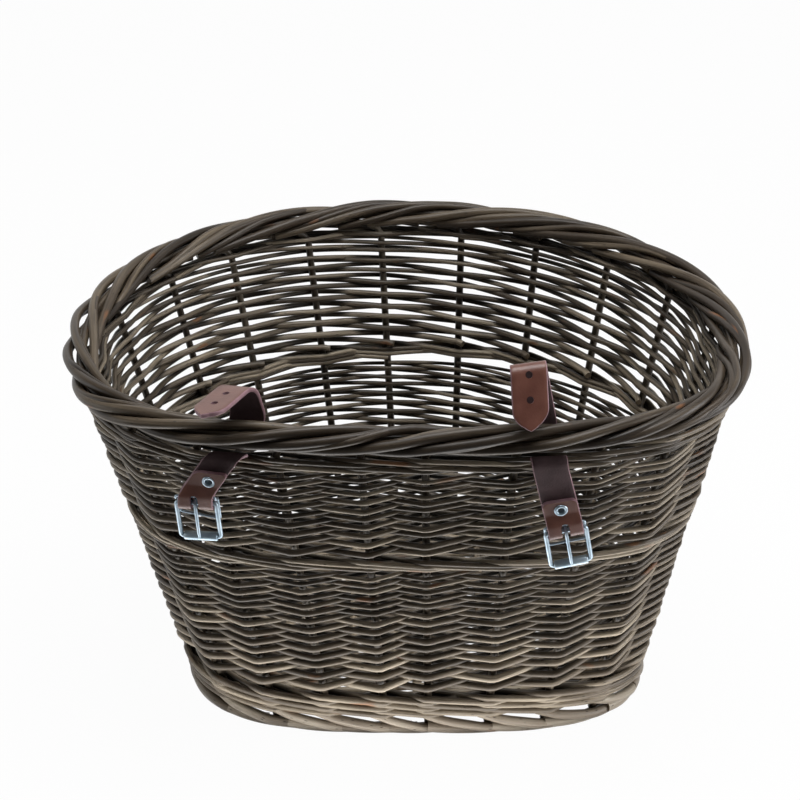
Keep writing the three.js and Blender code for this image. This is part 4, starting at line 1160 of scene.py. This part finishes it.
def white_paper():
    """Matt paper, white under and behind the basket and grey in front of it, so that the handlebar side is
    lit and mirrored from below and not from the front. To the camera all of it is white, with a trace of the
    shadow."""
    material, tree, shader = new_material("white_paper")
    place = add(tree, "ShaderNodeNewGeometry").outputs["Position"]
    depth = add(tree, "ShaderNodeSeparateXYZ", {0: place}).outputs["Y"]
    stretch = {"Value": depth, "From Min": GREY_Y * MM, "From Max": WHITE_Y * MM}
    white = add(tree, "ShaderNodeMapRange", stretch).outputs["Result"]
    tones = [(0.0, linear("#606060")), (1.0, linear("#f8f8f8"))]
    colour = add(tree, "ShaderNodeValToRGB", {"Fac": white}, tones).outputs["Color"]
    tree.links.new(colour, shader.inputs["Base Color"])
    shader.inputs["Roughness"].default_value = 0.9
    rays = add(tree, "ShaderNodeLightPath").outputs
    mirrored = add(tree, "ShaderNodeMapRange", {"Value": white, "To Min": 0.15, "To Max": 1.0})
    brighter = {0: rays["Is Camera Ray"], 1: mirrored.outputs["Result"]}
    bright = add(tree, "ShaderNodeMath", brighter, operation="MAXIMUM")
    glow = add(tree, "ShaderNodeEmission", {"Color": WHITE, "Strength": bright.outputs[0]})
    either = {0: rays["Is Camera Ray"], 1: rays["Is Glossy Ray"]}
    seen = add(tree, "ShaderNodeMath", either, operation="MAXIMUM")
    share = add(tree, "ShaderNodeMath", {0: seen.outputs[0], 1: 0.97}, operation="MULTIPLY")
    mixed = add(tree, "ShaderNodeMixShader", {0: share.outputs[0], 1: shader.outputs[0], 2: glow.outputs[0]})
    output = next(n for n in tree.nodes if n.type == "OUTPUT_MATERIAL")
    tree.links.new(mixed.outputs[0], output.inputs["Surface"])
    return material


def studio():
    """World that is white to the camera, dim in the metal and darker still as a light."""
    world = bpy.data.worlds.new("studio")
    bpy.context.scene.world = world
    world.use_nodes = True
    tree = world.node_tree
    background = next(n for n in tree.nodes if n.type == "BACKGROUND")
    background.inputs["Color"].default_value = WHITE
    rays = add(tree, "ShaderNodeLightPath").outputs
    dim = add(tree, "ShaderNodeMath", {0: rays["Is Glossy Ray"], 1: 0.1, 2: 0.008}, operation="MULTIPLY_ADD")
    strength = add(tree, "ShaderNodeMath", {0: rays["Is Camera Ray"], 1: dim.outputs[0]}, operation="MAXIMUM")
    tree.links.new(strength.outputs[0], background.inputs["Strength"])


def stage():
    paper = white_paper()
    left = -FLOOR_HALF
    right = FLOOR_HALF
    far = BACKDROP_Y
    high = BACKDROP_HEIGHT
    plane("floor", [(left, -FLOOR_HALF, 0), (right, -FLOOR_HALF, 0), (right, far, 0), (left, far, 0)], paper)
    plane("backdrop", [(left, far, 0), (right, far, 0), (right, far, high), (left, far, high)], paper)
    studio()
    for name, place, aim, size, power in SOFTBOXES:
        softbox(name, place, aim, size, power)


def camera():
    """Camera at the photograph's viewing angle: it looks down on the handlebar side."""
    elevation = math.radians(CAMERA_ELEVATION)
    target = Vector((MIDDLE[0], MIDDLE[1] + TARGET_AHEAD, TARGET_HEIGHT))
    back = Vector((0, -math.cos(elevation), math.sin(elevation)))
    right = Vector((1, 0, 0))
    up = back.cross(right)
    aside = (PICTURE_PIXELS / 2 - TARGET_PIXEL_X) / FOCAL_PIXELS
    above = (PICTURE_PIXELS / 2 - TARGET_PIXEL_Y) / FOCAL_PIXELS
    aim = right * aside - back - up * above
    made = bpy.data.cameras.new("camera")
    made.sensor_width = SENSOR_WIDTH
    made.lens = FOCAL_PIXELS / PICTURE_PIXELS * SENSOR_WIDTH
    made.clip_start = 0.05
    made.clip_end = 50
    seen = bpy.data.objects.new("camera", made)
    seen.location = (target + back * CAMERA_DISTANCE) * MM
    seen.rotation_euler = aim.to_track_quat("-Z", "Y").to_euler()
    bpy.context.scene.collection.objects.link(seen)
    bpy.context.scene.camera = seen


randing("lower_weave", LOWER_WEAVE_LOW, MIDDLE_WALE_LOW, MIDDLE_WALE_LOW,
        rounds=14, thick=4.7, thin=2.7, near_fill=0.95, far_fill=0.88)
randing("upper_weave", UPPER_WEAVE_LOW, UPPER_WEAVE_HIGH, FAR_WEAVE_HIGH,
        rounds=10, thick=4.4, thin=2.8, near_fill=0.86, far_fill=0.95)
waling("bottom_wale", BOTTOM_WALE_LOW, BOTTOM_WALE_LOW, LOWER_WEAVE_LOW, rounds=3, diameter=4.2)
waling("middle_wale", MIDDLE_WALE_LOW, MIDDLE_WALE_LOW, UPPER_WEAVE_LOW, rounds=2, diameter=3.2)
waling("top_wale", TOP_WALE_LOW, FAR_WALE_LOW, BORDER_LOW, rounds=2, diameter=3.0)
stakes()
rim_border()
foot_border()
base()
for side in SIDES:
    buckle = buckle_place(side)
    upper_strap(side)
    lower_strap(side, buckle)
    eyelet(side["name"], buckle)
    buckle_wire(side["name"], buckle)
    roller(side["name"], buckle)
    prong(side["name"], buckle)
    keeper(side["name"], buckle, side["keeper_skew"])
stage()
camera()
bpy.context.scene.view_settings.view_transform = "Standard"
